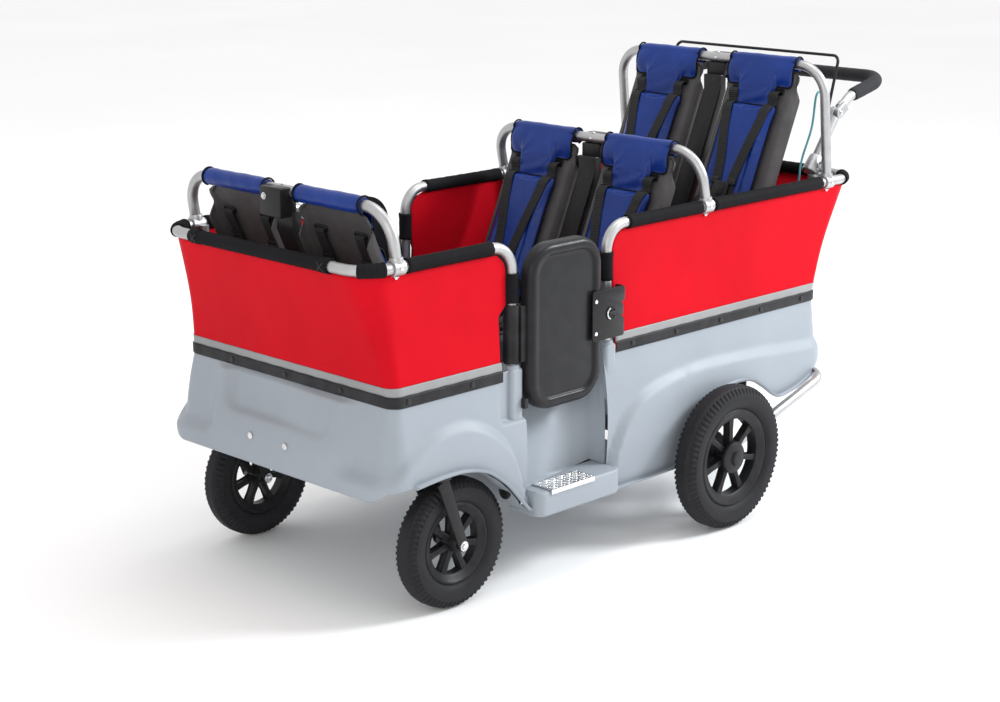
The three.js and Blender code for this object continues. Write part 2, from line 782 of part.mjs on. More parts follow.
// Hoops: clamped to the rails, each with two struts that run on down to the tub's floor
const strutX = railHalfWidth - strutInset;

function hoop({ station, lean, height, shift, floor }) {
  const leg = [at(railHalfWidth, station, railHeight + tubeRadius + clearance + clearance),
    at(railHalfWidth, station + lean, height)];
  const path = bent([...leg, ...leg.map(acrossX).reverse()], [hoopBend, hoopBend]);
  const clamp = slabY(ring(clampRadius), yAt(station - clampLength / 2), yAt(station + clampLength / 2))
    .translate(railHalfWidth, 0, railHeight);
  const top = at(strutX, station + Math.sign(shift) * frontStrutShift, railHeight);
  const foot = at(strutX, station + shift, floor + clearance);
  const strut = swept([top, foot.clone().setZ(foot.z + strutFootHeight), foot], strutRadius);
  return [swept(path, tubeRadius), ...bothSides(clamp), ...bothSides(strut)];
}

const railBore = (station) => slabY(ring(tubeBore), yAt(station) - overrun, yAt(station) + overrun)
  .translate(railHalfWidth, 0, railHeight);
const frontHoop = {
  station: frontHoopStation,
  lean: frontHoopLean,
  height: frontHoopHeight,
  shift: frontStrutShift,
  floor: frontFloor,
};
const middleHoop = {
  station: middleHoopStation,
  lean: middleHoopLean,
  height: middleHoopHeight,
  shift: 0,
  floor: rearFloor,
};
const rearHoop = {
  station: rearHoopStation,
  lean: rearHoopLean,
  height: rearHoopHeight,
  shift: rearStrutShift,
  floor: rearFloor,
};
const clampedHoop = (about, ...extra) => cutFrom(joined(...hoop(about), ...extra),
  ...bothSides(railBore(about.station)));
add('front_hoop', clampedHoop(frontHoop), 'aluminium');
add('middle_hoop', clampedHoop(middleHoop), 'aluminium');

// Handle: a socket and a fixed tube on each side of the rear hoop, a knuckle, and a U that tilts on it
const socketFoot = at(handleHalfWidth, socketStation, socketHeight);
const knuckle = at(handleHalfWidth, knuckleStation, knuckleHeight);
const gripCorner = at(handleHalfWidth, gripStation, gripHeight);
const tubeUp = knuckle.clone().sub(socketFoot).normalize();
const elbow = at(handleHalfWidth, knuckleStation + elbowReach, knuckleHeight + elbowRise);
const legOut = elbow.clone().sub(knuckle).normalize();
const knuckleRoom = knuckleRadius + clearance + clearance;

// A disc on the knuckle's axis with a tongue along a tube
function tongue(direction, low, high) {
  const reach = [direction.y, direction.z].map((share) => share * (knuckleRadius + knuckleRadius));
  const arm = slabX(band([[0, 0], reach], -knuckleThickness, knuckleThickness), low, high);
  return joined(drumX(knuckleRadius, low, high), arm).translate(0, knuckle.y, knuckle.z);
}

const knuckleInner = handleHalfWidth - knuckleThickness - clearance;
const lowerTube = () => [
  swept([socketFoot, socketFoot.clone().addScaledVector(tubeUp, socketLength)], socketRadius),
  swept([socketFoot, knuckle.clone().addScaledVector(tubeUp, -knuckleRoom)], tubeRadius),
  tongue(tubeUp.clone().negate(), knuckleInner, handleHalfWidth - clearance / 2),
  block([handleHalfWidth, yAt(rearHoopStation - clampLength), socketBracketTop - socketBracketThickness],
    [railHalfWidth - tubeRadius, yAt(rearHoopStation + clampLength / 2), socketBracketTop]),
];
add('rear_hoop', clampedHoop(rearHoop, ...lowerTube().flatMap(bothSides)), 'aluminium');

const bothLegs = (near, bends) => bent([...near, ...near.map(acrossX).reverse()],
  [...bends, ...bends.slice().reverse()]);
const tubeStart = knuckle.clone().addScaledVector(legOut, knuckleRoom);
const foamStart = elbow.clone().lerp(gripCorner, gripLegStart / elbow.distanceTo(gripCorner));
const [upperInner, upperOuter] = [clearance / 2, knuckleThickness + clearance].map((gap) => (
  handleHalfWidth + gap));
add('handle_tube', joined(swept(bothLegs([tubeStart, elbow, gripCorner], [elbowBend, gripBend]), tubeRadius),
  ...bothSides(tongue(legOut, upperInner, upperOuter))), 'aluminium');
add('foam_grip', swept(bothLegs([foamStart, gripCorner], [gripBend]), gripRadius, tubeBore), 'foam');

// Brake bail, hinged beside the knuckles
const bailFoot = at(bailHalfWidth, knuckleStation, knuckleHeight);
const bailTop = at(bailHalfWidth, knuckleStation + bailReach, knuckleHeight + bailRise);
const bailPath = bent([bailFoot, bailTop, acrossX(bailTop), acrossX(bailFoot)], [bailBend, bailBend]);
const bailEye = drumX(eyeRadius, bailHalfWidth - bailRadius, knuckleInner - clearance)
  .translate(0, bailFoot.y, bailFoot.z);
add('brake_bail', joined(swept(bailPath, bailRadius, 0, cableSides), ...bothSides(bailEye)), 'blackSteel');

// Castors and the cross member that carries them under the front floor
function frontCrossbar() {
  const [top, foot] = [underFloorFront - clearance, underFloorFront - clearance - crossbarThickness];
  const plate = block([-crossbarHalf, yAt(castorStation - crossbarReach), foot],
    [crossbarHalf, yAt(castorStation + crossbarReach), top]);
  const cup = slabZ(ring(cupRadius), crownTop + clearance, cupTop)
    .translate(castorHalfTrack, yAt(castorStation), 0);
  const bore = slabZ(ring((stemRadius + clearance) * roundCut), crownTop - overrun, cupTop + overrun)
    .translate(castorHalfTrack, yAt(castorStation), 0);
  return cutFrom(joined(plate, ...bothSides(cup)), ...bothSides(bore));
}

add('front_crossbar', frontCrossbar(), 'blackSteel');

const wheelX = new THREE.Matrix4().set(0, 1, 0, 0, 1, 0, 0, 0, 0, 0, 1, 0, 0, 0, 0, 1);
const wheelFit = 1 / Math.cos(Math.PI / wheelSegments);

// A closed profile of radius and place along the axle, turned about X with a flat facet down
function turned(profile) {
  const points = [...profile, profile[0]].map(([radius, x]) => new THREE.Vector2(radius * wheelFit, x));
  return new THREE.LatheGeometry(points, wheelSegments, Math.PI / wheelSegments).applyMatrix4(wheelX);
}

const tyreShares = [[0, 0.62], [0.5, 1], [1, 0.5], [1, -0.5], [0.5, -1], [0, -0.62]];
const tyre = (inner, outer, width) => turned(tyreShares.map(([out, across]) => (
  [mix(inner + clearance, outer, out), across * width / 2])));

function spokes(inner, outer) {
  return Array.from({ length: spokeCount }, (_, k) => block([-spokeDepth / 2, -spokeWidth / 2, inner],
    [spokeDepth / 2, spokeWidth / 2, outer]).rotateX(k / spokeCount * Math.PI * 2));
}

function rim(radius, ringBand, depth, hubRadius) {
  const [low, high] = [-depth / 2, depth / 2];
  const hoopRing = turned([[radius, low], [radius, high],
    [radius - ringBand, high], [radius - ringBand, low]]);
  return [hoopRing, ...spokes(hubRadius - spokeRoot, radius - ringBand + spokeRoot)];
}

function frontRim() {
  const bore = drumX((boltRadius + clearance) * roundCut, -frontHubHalf - overrun, frontHubHalf + overrun);
  return cutFrom(joined(...rim(frontRimRadius, frontRimBand, frontRimDepth, frontHubRadius),
    drumX(frontHubRadius, -frontHubHalf, frontHubHalf)), bore);
}

function rearRim() {
  const face = rearHubHalf - hubFaceDepth;
  const bore = drumX((axleRadius + clearance) * roundCut, -rearHubHalf - overrun,
    axleEnd - rearHalfTrack + clearance);
  return cutFrom(joined(...rim(rearRimRadius, rearRimBand, rearRimDepth, rearHubRadius),
    drumX(rearHubRadius, -rearHubHalf, rearHubHalf - hubCapHeight),
    drumX(hubFaceRadius, face - hubCapHeight, rearHubHalf - hubCapHeight, fineSides),
    drumX(hubCapRadius, face, rearHubHalf)), bore);
}

// A fork: crown, stem, two legs that lean back to the axle and the axle's bolt through them
function fork() {
  const [trail, drop] = [castorTrail, frontTyreRadius - crownTop];
  const legLine = [[0, -crownThickness / 2], [trail, drop]];
  const leg = joined(slabX(band(legLine, -crownHalf, crownHalf), forkGap, forkGap + forkThickness),
    drumX(crownHalf, forkGap, forkGap + forkThickness).translate(0, trail, drop));
  const legTop = slabX([[-overrun, -crownThickness / 2], [overrun, -crownThickness / 2], [overrun, overrun],
    [-overrun, overrun]], 0, forkGap + overrun);
  const crown = block([-forkGap - forkThickness, -crownHalf, -crownThickness],
    [forkGap + forkThickness, crownHalf, 0]);
  const bolt = [drumX(boltRadius, -forkGap - forkThickness, forkGap + forkThickness),
    ...bothSides(drumX(boltHeadRadius, forkGap + forkThickness, forkGap + forkThickness + boltHeadHeight))];
  const stem = slabZ(ring(stemRadius), -crownThickness / 2, stemTop - crownTop);
  return joined(crown, stem, ...bothSides(cutFrom(leg, legTop)),
    ...bolt.map((part) => part.translate(0, trail, drop)));
}

sides.forEach(({ side, sign }) => {
  const castor = new THREE.Group();
  castor.position.set(sign * castorHalfTrack, yAt(castorStation), crownTop);
  const wheel = new THREE.Group();
  wheel.position.set(0, castorTrail, frontTyreRadius - crownTop);
  castor.add(piece(`castor_fork_${side}`, fork(), 'blackSteel'), wheel);
  wheel.add(
    piece(`front_rim_${side}`, frontRim(), 'black'),
    piece(`front_tyre_${side}`, tyre(frontRimRadius, frontTyreRadius, frontTyreWidth), 'rubber'),
  );
  const rearWheel = new THREE.Group();
  rearWheel.position.set(sign * rearHalfTrack, yAt(rearWheelStation), rearTyreRadius);
  rearWheel.add(
    piece(`rear_rim_${side}`, sign > 0 ? rearRim() : mirrored(rearRim()), 'black'),
    piece(`rear_tyre_${side}`, tyre(rearRimRadius, rearTyreRadius, rearTyreWidth), 'rubber'),
  );
  stroller.add(castor, rearWheel);
});

// Rear frame: a bumper loop with two brackets that hang the axle from the rear floor
function rearFrame() {
  const near = [at(frameHalfWidth, frameFrontStation, frameFrontHeight),
    at(frameHalfWidth, frameRearStation, frameRearHeight)];
  const loop = swept(bent([...near, ...near.map(acrossX).reverse()], [frameCorner, frameCorner]), tubeRadius);
  const top = underFloorRear - clearance;
  const [low, high] = [frameHalfWidth - bracketThickness / 2, frameHalfWidth + bracketThickness / 2];
  const slope = (frameRearHeight - frameFrontHeight) / (frameRearStation - frameFrontStation);
  const lineHeight = (station) => frameFrontHeight + slope * (station - frameFrontStation);
  const stations = [frameFrontStation + bracketThickness, rearWheelStation + tubeRadius + tubeRadius];
  const plate = slabX([...stations.map((s) => [yAt(s), lineHeight(s)]), [yAt(bracketRear), top],
    [yAt(bracketFront), top]], low, high);
  const flange = block([low - bracketFlange, yAt(bracketFront), top - bracketThickness],
    [high, yAt(bracketRear), top]);
  const bore = drumX((axleRadius + clearance) * roundCut, -farX, farX)
    .translate(0, yAt(rearWheelStation), rearTyreRadius);
  return cutFrom(joined(loop, ...bothSides(plate), ...bothSides(flange)), bore);
}

add('rear_frame', rearFrame(), 'aluminium');
const ontoAxle = (geometry) => geometry.translate(0, yAt(rearWheelStation), rearTyreRadius);
add('rear_axle', ontoAxle(drumX(axleRadius, -axleEnd, axleEnd)), 'steel');

function brakeUnit() {
  const outer = brakeInner + brakeDepth;
  const drum = drumX(brakeRadius, brakeInner, outer, fineSides);
  const arm = block([brakeInner, -brakeArmWidth / 2, 0],
    [brakeInner + brakeArmThickness, brakeArmWidth / 2, brakeArmLength]);
  const bore = drumX((axleRadius + clearance) * roundCut, brakeInner - overrun, outer + overrun);
  return ontoAxle(cutFrom(joined(drum, arm), bore));
}

addPair('brake_unit', brakeUnit(), 'black');

// Doors, built on their outer face: a rim, a groove and an inner panel
const doorRearStation = doorFrontStation + doorWidth;

function doorOutline(inset) {
  return roundedRectangle([yAt(doorFrontStation) + inset, doorFoot + inset],
    [yAt(doorRearStation) - inset, doorFoot + doorHeight - inset], doorCorner - inset);
}

function door() {
  const outer = doorInner + doorThickness;
  const leaf = lofted([
    { height: doorInner, points: doorOutline(0) },
    { height: outer - doorBevel, points: doorOutline(0) },
    { height: outer, points: doorOutline(doorBevel) },
  ]).applyMatrix4(yzToX);
  const grooveFloor = outer - doorGrooveDepth;
  const inside = slabX(doorOutline(doorRim + doorGroove), grooveFloor - doorBevel, outer + overrun);
  return cutFrom(leaf, cutFrom(slabX(doorOutline(doorRim), grooveFloor, outer + overrun), inside));
}

// A barrel round the front post with a wing to the back of the door
function doorHinge() {
  const barrel = slabZ(ring(hingeRadius), hingeFoot, hingeTop);
  const wingOuter = doorInner - clearance - railHalfWidth;
  const wing = block([wingOuter - hingeWingThickness, 0, hingeFoot + hingeWingInset],
    [wingOuter, hingeWingReach - frontPostStation, hingeTop - hingeWingInset]);
  const bore = slabZ(ring(turningBore, fineSides), hingeFoot - overrun, hingeTop + overrun);
  return cutFrom(joined(barrel, wing), bore).translate(railHalfWidth, yAt(frontPostStation), 0);
}

// A plate across the door's edge and the rear post, with two tabs behind the post
const latchInner = doorInner + doorThickness + clearance;
const latchOuter = latchInner + latchThickness;

function latchPlate() {
  const tab = (foot) => block([latchInner - latchTabDepth, yAt(latchRearStation) - latchThickness, foot],
    [latchOuter, yAt(latchRearStation), foot + latchTabHeight]);
  const plate = block([latchInner, yAt(latchFrontStation), latchFoot],
    [latchOuter, yAt(latchRearStation), latchTop]);
  const hole = drumX((latchPinRadius + clearance) * roundCut, latchInner - overrun, latchOuter + overrun)
    .translate(0, yAt(latchKnobStation), latchKnobHeight);
  return cutFrom(joined(plate, tab(latchFoot), tab(latchTop - latchTabHeight)), hole);
}

// A turning knob outside the plate, its pin and the hook that turns across the post's outer side
function latchKnob() {
  const outer = latchOuter + clearance;
  const hookInner = railHalfWidth + tubeRadius + clearance + clearance;
  const knobTop = drumX(latchKnobRadius, outer, outer + latchKnobDepth);
  const pin = drumX(latchPinRadius, hookInner, outer + latchKnobDepth / 2);
  const hook = block([hookInner, -latchPinRadius, -latchHookWidth / 2],
    [hookInner + latchHookWidth / 2, latchHookLength, latchHookWidth / 2]);
  return joined(knobTop, pin, hook).translate(0, yAt(latchKnobStation), latchKnobHeight);
}

addPair('door', door(), 'black');
addPair('door_hinge', doorHinge(), 'black');
addPair('latch_plate', latchPlate(), 'blackSteel');
addPair('latch_knob', latchKnob(), 'black');

// Seats, in a frame with its origin on the hip line, facing +Y
const backUp = new THREE.Vector3(0, -Math.sin(recline), Math.cos(recline));
const backOut = new THREE.Vector3(0, Math.cos(recline), Math.sin(recline));
const panOut = new THREE.Vector3(0, Math.cos(panRise), Math.sin(panRise));
const panUp = new THREE.Vector3(0, -Math.sin(panRise), Math.cos(panRise));
const onLine = (along, across) => (a, b) => [along.y * a + across.y * b, along.z * a + across.z * b];
const onBack = onLine(backUp, backOut);
const onPan = onLine(panOut, panUp);
const barReach = seatBack + seatTopGap;
const slotRise = barReach - slotDrop;
const slotSides = [slotSpread, -slotSpread];
const backMatrix = new THREE.Matrix4().makeBasis(new THREE.Vector3(1, 0, 0), backUp, backOut.clone());
const panMatrix = new THREE.Matrix4().makeBasis(new THREE.Vector3(1, 0, 0), panOut, panUp);

function seatShell() {
  const line = [onBack(seatBack, 0), onPan(0, 0), onPan(seatPan, 0)];
  const half = seatWidth / 2;
  const body = slabX(band(line, -shellThickness, 0), -half, half);
  const depth = -shellThickness - shellFlange;
  const flange = slabX([onBack(seatBack - flangeTopDrop, -shellThickness / 2),
    onBack(seatBack - flangeTopDrop - flangeChamfer, depth), onBack(flangeFootRise + flangeChamfer, depth),
    onBack(flangeFootRise, -shellThickness / 2)], half - shellThickness, half);
  const slots = slotSides.map((x) => new THREE.BoxGeometry(slotWidth, slotHeight, overrun)
    .translate(x, slotRise, 0).applyMatrix4(backMatrix));
  return cutFrom(joined(body, ...bothSides(flange)), ...slots);
}

// A padded form: crowned, drawn in at its sides and pressed in along two sewn channels
const channelPlaceShares = [-0.25, 0.25];

function pillow(width, length, rows) {
  const columns = pillowColumns;
  const form = new THREE.BoxGeometry(1, 1, 1, columns, rows, 1);
  const place = form.attributes.position;
  for (let v = 0; v < place.count; v += 1) {
    const [x, y, z] = [place.getX(v), place.getY(v), place.getZ(v)];
    const [across, along] = [1 - (2 * x) ** 4, 1 - (2 * y) ** 4];
    const sewn = channelPlaceShares.some((share) => Math.abs(x - share) < 1 / (2 * columns));
    const seam = sewn ? channelShare : 1;
    const swell = (padThickness + padCrown * across * along) * (edgeShare + (1 - edgeShare) * across * along);
    const waist = width - 2 * drawIn * along * (Math.abs(x) > 0.5 - 1 / (2 * columns) ? 1 : 0);
    place.setXYZ(v, x * waist, (y + 0.5) * length, z > 0 ? swell * seam : 0);
  }
  return form;
}

function seatPad() {
  const half = flapWidth / 2;
  const bar = onBack(barReach, 0);
  const slab = (width, low, high, thickness) => slabX([onBack(low, clearance), onBack(high, clearance),
    onBack(high, clearance + thickness), onBack(low, clearance + thickness)], -width / 2, width / 2);
  const padRise = barReach - padTopDrop;
  const roll = drumX(wrapRadius, -half, half, fineSides).translate(0, ...bar);
  const bore = drumX(tiltedBore, -half - overrun, half + overrun).translate(0, ...bar);
  const body = pillow(padWidth, padRise - padHipGap, pillowRows).translate(0, padHipGap, clearance)
    .applyMatrix4(backMatrix);
  const cushion = pillow(padWidth, seatPan - padHipGap, cushionRows).translate(0, padHipGap, clearance)
    .applyMatrix4(panMatrix);
  const web = slabX([onBack(hipWebReach, clearance), onBack(hipWebReach, hipWebThickness),
    onPan(hipWebReach, hipWebThickness), onPan(hipWebReach, clearance), onPan(padHipGap / 2, clearance),
    onBack(padHipGap / 2, clearance)], -hipWebWidth / 2, hipWebWidth / 2);
  return cutFrom(joined(roll, slab(flapWidth, barReach - flapLength, barReach, flapThickness),
    slab(neckWidth, padRise - padHipGap, barReach - flapLength / 2, neckThickness),
    body, cushion, web), bore);
}

// Webbing: two shoulder straps out of the slots, a buckle, two waist straps and one between the legs
function harness() {
  const rest = clearance + padThickness + padCrown + webGap;
  const middle = rest + buckleThickness / 2;
  const strapLine = [onBack(slotRise, -shellThickness / 2), onBack(slotRise - slotHeight / 2, rest / 2),
    onBack(barReach - padTopDrop - webWidth, rest + webThickness), onBack(buckleRise, rest + webThickness)];
  const shoulder = slabX(band(strapLine, -webThickness / 2, webThickness / 2), -webWidth / 2, webWidth / 2);
  const slope = (slotSpread - webFootSpread) / (slotRise - buckleRise);
  const shear = new THREE.Matrix4().set(1, slope * backUp.y, slope * backUp.z, slotSpread - slope * slotRise,
    0, 1, 0, 0, 0, 0, 1, 0, 0, 0, 0, 1);
  const buckle = block([-buckleWidth / 2, buckleRise - buckleHeight / 2, rest],
    [buckleWidth / 2, buckleRise + buckleHeight / 2, rest + buckleThickness]).applyMatrix4(backMatrix);
  const fall = (waistRise - buckleRise) / (padWidth / 2 - buckleWidth / 2);
  const waist = block([0, -webWidth / 2, rest], [padWidth / 2, webWidth / 2, rest + webThickness])
    .applyMatrix4(new THREE.Matrix4().set(1, 0, 0, 0, fall, 1, 0, buckleRise, 0, 0, 1, 0, 0, 0, 0, 1))
    .applyMatrix4(backMatrix);
  const crotchLine = [onBack(buckleRise, middle), onPan(rest + rest, rest + webThickness),
    onPan(crotchReach, rest + webThickness)];
  const crotch = slabX(band(crotchLine, -webThickness / 2, webThickness / 2), -webWidth / 2, webWidth / 2);
  return joined(buckle, crotch, ...bothSides(shoulder.applyMatrix4(shear)), ...bothSides(waist));
}

// A carrier: a block on the hoop's bar, a post between the shells down to the floor, and the tube
// that the two pans rest on
function carrier(floorDrop) {
  const bar = onBack(barReach, 0);
  const hip = onBack(shellThickness, -carrierSetback);
  const crossTube = onPan(crossTubeReach, -shellThickness - clearance - crossTubeRadius);
  const half = carrierWidth / 2;
  const post = slabX(band([onBack(barReach - barBlockFoot / 2, -carrierSetback / 2),
    onBack(barReach - barBlockFoot - barBlockTop, -carrierSetback), hip, [hip[0], clearance - floorDrop]],
  -carrierDepth / 2, carrierDepth / 2), -half, half);
  const arm = slabX(band([hip, crossTube], -carrierArmThickness / 2, carrierArmThickness / 2), -half, half);
  const barBlock = block([-barBlockWidth / 2, -barBlockDepth / 2, -barBlockFoot],
    [barBlockWidth / 2, barBlockDepth / 2, barBlockTop]).translate(0, ...bar);
  const foot = block([-carrierFootWidth / 2, hip[0] - carrierFootWidth / 2, clearance - floorDrop],
    [carrierFootWidth / 2, hip[0] + carrierFootWidth / 2, clearance - floorDrop + carrierFootThickness]);
  const tube = drumX(crossTubeRadius, -crossTubeHalf, crossTubeHalf).translate(0, ...crossTube);
  const bore = drumX(tiltedBore, -barBlockWidth, barBlockWidth).translate(0, ...bar);
  return cutFrom(joined(barBlock, post, arm, tube, foot), bore);
}

const rows = [
  { row: 'front', hoopOf: frontHoop, facing: 1, floor: frontFloor },
  { row: 'middle', hoopOf: middleHoop, facing: -1, floor: wellFloor },
  { row: 'rear', hoopOf: rearHoop, facing: -1, floor: rearFloor },
];
rows.forEach(({ row, hoopOf, facing, floor }) => {
  const [barBehind, barUp] = onBack(barReach, 0);
  const hipHeight = hoopOf.height - barUp;
  const seats = new THREE.Group();
  seats.position.set(0, yAt(hoopOf.station + hoopOf.lean) - facing * barBehind, hipHeight);
  seats.rotation.z = facing > 0 ? 0 : Math.PI;
  seats.add(piece(`${row}_seat_carrier`, carrier(hipHeight - floor), 'blackSteel'));
  sides.forEach(({ side, sign }) => {
    const seat = new THREE.Group();
    seat.position.x = sign * facing * seatHalfPitch;
    seat.add(
      piece(`${row}_seat_shell_${side}`, seatShell(), 'grey'),
      piece(`${row}_seat_pad_${side}`, seatPad(), 'blue'),
      piece(`${row}_harness_${side}`, harness(), 'webbing'),
    );
    seats.add(seat);
  });
  stroller.add(seats);
});

// Brake cable: from the left handle tube down ahead of the hoop, inside the cloth, through the rear
// floor and up over the side to the left brake unit
const cableStart = knuckle.clone().addScaledVector(tubeUp, -cableStartDrop);
const cableOut = new THREE.Vector3(0, -tubeUp.z, tubeUp.y);
const brakeMiddle = brakeInner + brakeDepth / 2;
const cableEnd = at(brakeMiddle, rearWheelStation, rearTyreRadius + brakeRadius / fineCut + clearance);
const passing = (anchor, offsets) => offsets.map((offset) => anchor.clone()
  .add(new THREE.Vector3(...offset)));
const cableRoute = [
  cableStart.clone().addScaledVector(cableOut, tubeRadius + clearance + clearance),
  cableStart.clone().addScaledVector(cableOut, tubeRadius + tubeRadius),
  ...passing(knuckle, cableByKnuckle),
  ...passing(at(cableHoleX, rearHoopStation, railHeight), cableByRail),
  ...passing(at(cableHoleX, cableHoleStation, rearFloor), cableByHole),
  ...passing(at(brakeMiddle, rearWheelStation, rearTyreRadius), cableByBrake),
  cableEnd,
];
const cableCurve = new THREE.CatmullRomCurve3(cableRoute);
const cableShape = outline(ring(cableRadius, cableSides));
add('brake_cable', new THREE.ExtrudeGeometry(cableShape, {
  steps: cableSteps, extrudePath: cableCurve, bevelEnabled: false,
}), 'cable');

export default stroller;
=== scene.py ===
import math

import bmesh
import bpy
from mathutils import Matrix, Vector
from mathutils.bvhtree import BVHTree


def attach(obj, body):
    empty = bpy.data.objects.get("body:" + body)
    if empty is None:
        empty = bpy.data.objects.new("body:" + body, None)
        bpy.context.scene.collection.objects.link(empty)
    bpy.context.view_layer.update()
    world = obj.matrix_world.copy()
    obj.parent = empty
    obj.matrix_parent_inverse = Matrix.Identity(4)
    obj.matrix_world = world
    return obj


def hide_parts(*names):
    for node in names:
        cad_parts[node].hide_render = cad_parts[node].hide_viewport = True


bl_info = {
    "name": "Multi seat daycare stroller",
    "version": (1, 0, 0),
    "blender": (4, 5, 0),
    "location": "View3D > Sidebar > Stroller",
    "description": "Builds the stroller's tub, rails, cloth sides, seats, doors, wheels and handle",
    "category": "Object",
}

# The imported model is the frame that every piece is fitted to
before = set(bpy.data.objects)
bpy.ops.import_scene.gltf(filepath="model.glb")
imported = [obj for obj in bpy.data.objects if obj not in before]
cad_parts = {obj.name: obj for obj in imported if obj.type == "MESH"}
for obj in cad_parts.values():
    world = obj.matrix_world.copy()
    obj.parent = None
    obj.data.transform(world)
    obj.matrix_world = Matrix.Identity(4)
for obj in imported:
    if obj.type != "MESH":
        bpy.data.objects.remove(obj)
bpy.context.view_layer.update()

# Lengths below are millimetres; stations run rearwards from the front rail's axis
ORIGIN_STATION = 825.75
TO_WORLD = Matrix.Scale(0.001, 4) @ Matrix.Translation((0.0, -ORIGIN_STATION, 0.0))
SIDES = (("left", 1), ("right", -1))
ENDS = (("front", 1), ("rear", -1))

RAIL_HEIGHT = 690.0
RAIL_HALF = 300.0
RAIL_LENGTH = 1496.0
RAIL_CORNER = 62.0
POST_BEND = 52.0
FRONT_POST = 375.0
REAR_POST = 647.0
HOOPS = {
    "front": {"station": 77.0, "lean": -15.0, "height": 798.0, "shift": 4.0, "floor": 305.0},
    "middle": {"station": 960.0, "lean": -24.0, "height": 806.0, "shift": 0.0, "floor": 314.0},
    "rear": {"station": 1390.0, "lean": -26.0, "height": 950.0, "shift": -90.0, "floor": 314.0},
}
HOOP_BEND = 66.0
STRUT_X = 278.0

RIM_HEIGHT = 445.0
RIM_HALF = 308.4
RIM_FRONT = 59.0
RIM_REAR = 1350.0
TUB_FOOT = 140.0
TUB_DEPTH = RIM_HEIGHT - TUB_FOOT
TUB_FRONT = 9.0
TUB_LENGTH = 1361.0
STRIP_FOOT = 426.0
STRIP_TOP = 448.0
CLOTH_TOP = 678.0
LOOP_FOOT = {1: 577.0, -1: 579.0}

SEAT_PITCH = 139.0
SLOT_X = 57.0
SLOT_UP = 346.0
RECLINE = math.radians(24.0)
PAN_RISE = math.radians(3.0)
BAR_REACH = 414.0
SEAT_ROWS = (
    ("front", 230.4, 419.8, 1),
    ("middle", 767.6, 427.8, -1),
    ("rear", 1195.6, 571.8, -1),
)

CARRIER_FLOOR = {"front": 305.0, "middle": 153.0, "rear": 314.0}

KNUCKLE = Vector((265.0, 1467.0, 836.0))
SOCKET_FOOT = Vector((265.0, 1372.0, 708.0))
ELBOW = Vector((265.0, 1515.0, 869.0))
GRIP_CORNER = Vector((265.0, 1650.0, 900.0))
GRIP_RADIUS = 15.5
CASTOR_STATION = 156.0
CASTOR_X = 298.0
CASTOR_TRAIL = 54.0
FRONT_WHEEL = {"radius": 130.0, "rim": 78.0, "band": 15.0, "depth": 30.0, "width": 52.0, "cuts": 66}
REAR_WHEEL = {"radius": 157.0, "rim": 102.0, "band": 18.0, "depth": 34.0, "width": 56.0, "cuts": 78}
REAR_WHEEL_STATION = 952.0
REAR_WHEEL_X = 384.0


# Curves and small sums

def mix(low, high, share):
    return low + (high - low) * share


def smooth_step(low, high, value):
    share = min(max((value - low) / (high - low), 0.0), 1.0)
    return share * share * (3.0 - 2.0 * share)


def on_curve(stops, place):
    """The height of a smooth curve through (place, height) stops at one place."""
    if place <= stops[0][0]:
        return stops[0][1]
    for k in range(len(stops) - 1):
        (a, low), (b, high) = stops[k], stops[k + 1]
        if place <= b:
            before = stops[max(k - 1, 0)]
            after = stops[min(k + 2, len(stops) - 1)]
            slope_in = (high - before[1]) / max(b - before[0], 1e-9)
            slope_out = (after[1] - low) / max(after[0] - a, 1e-9)
            t = (place - a) / (b - a)
            span = b - a
            return ((2 * t ** 3 - 3 * t ** 2 + 1) * low + (t ** 3 - 2 * t ** 2 + t) * span * slope_in
                    + (3 * t ** 2 - 2 * t ** 3) * high + (t ** 3 - t ** 2) * span * slope_out)
    return stops[-1][1]


def across(point):
    return Vector((-point[0], point[1], point[2]))


def bent(corners, radii, steps=10):
    """The points of a bent tube: straight runs with each corner turned into an arc."""
    corners = [Vector(corner) for corner in corners]
    points = [corners[0]]
    for corner, before, after, radius in zip(corners[1:-1], corners[:-2], corners[2:], radii):
        back = (before - corner).normalized()
        onward = (after - corner).normalized()
        half = back.angle(onward) / 2
        start = corner + back * (radius / math.tan(half))
        centre = corner + (back + onward).normalized() * (radius / math.sin(half))
        arm = start - centre
        for step in range(steps + 1):
            turn = (math.pi - 2 * half) * step / steps
            points.append(centre + arm * math.cos(turn) - back * (radius * math.sin(turn)))
    points.append(corners[-1])
    return points


def rounded(points, count):
    """Evenly spread points on a smooth curve through a few places."""
    points = [Vector(point) for point in points]
    fine = []
    for k in range(len(points) - 1):
        first, second = points[max(k - 1, 0)], points[k]
        third, fourth = points[k + 1], points[min(k + 2, len(points) - 1)]
        for step in range(12):
            t = step / 12
            fine.append(0.5 * (2 * second + (third - first) * t
                               + (2 * first - 5 * second + 4 * third - fourth) * t ** 2
                               + (3 * second - first - 3 * third + fourth) * t ** 3))
    fine.append(points[-1])
    return even(fine, count)


def even(points, count):
    lengths = [0.0]
    for before, after in zip(points, points[1:]):
        lengths.append(lengths[-1] + (after - before).length)
    result = []
    place = 0
    for step in range(count):
        reach = lengths[-1] * step / (count - 1)
        while place < len(points) - 2 and lengths[place + 1] < reach:
            place += 1
        span = lengths[place + 1] - lengths[place]
        result.append(points[place].lerp(points[place + 1], (reach - lengths[place]) / max(span, 1e-9)))
    return result


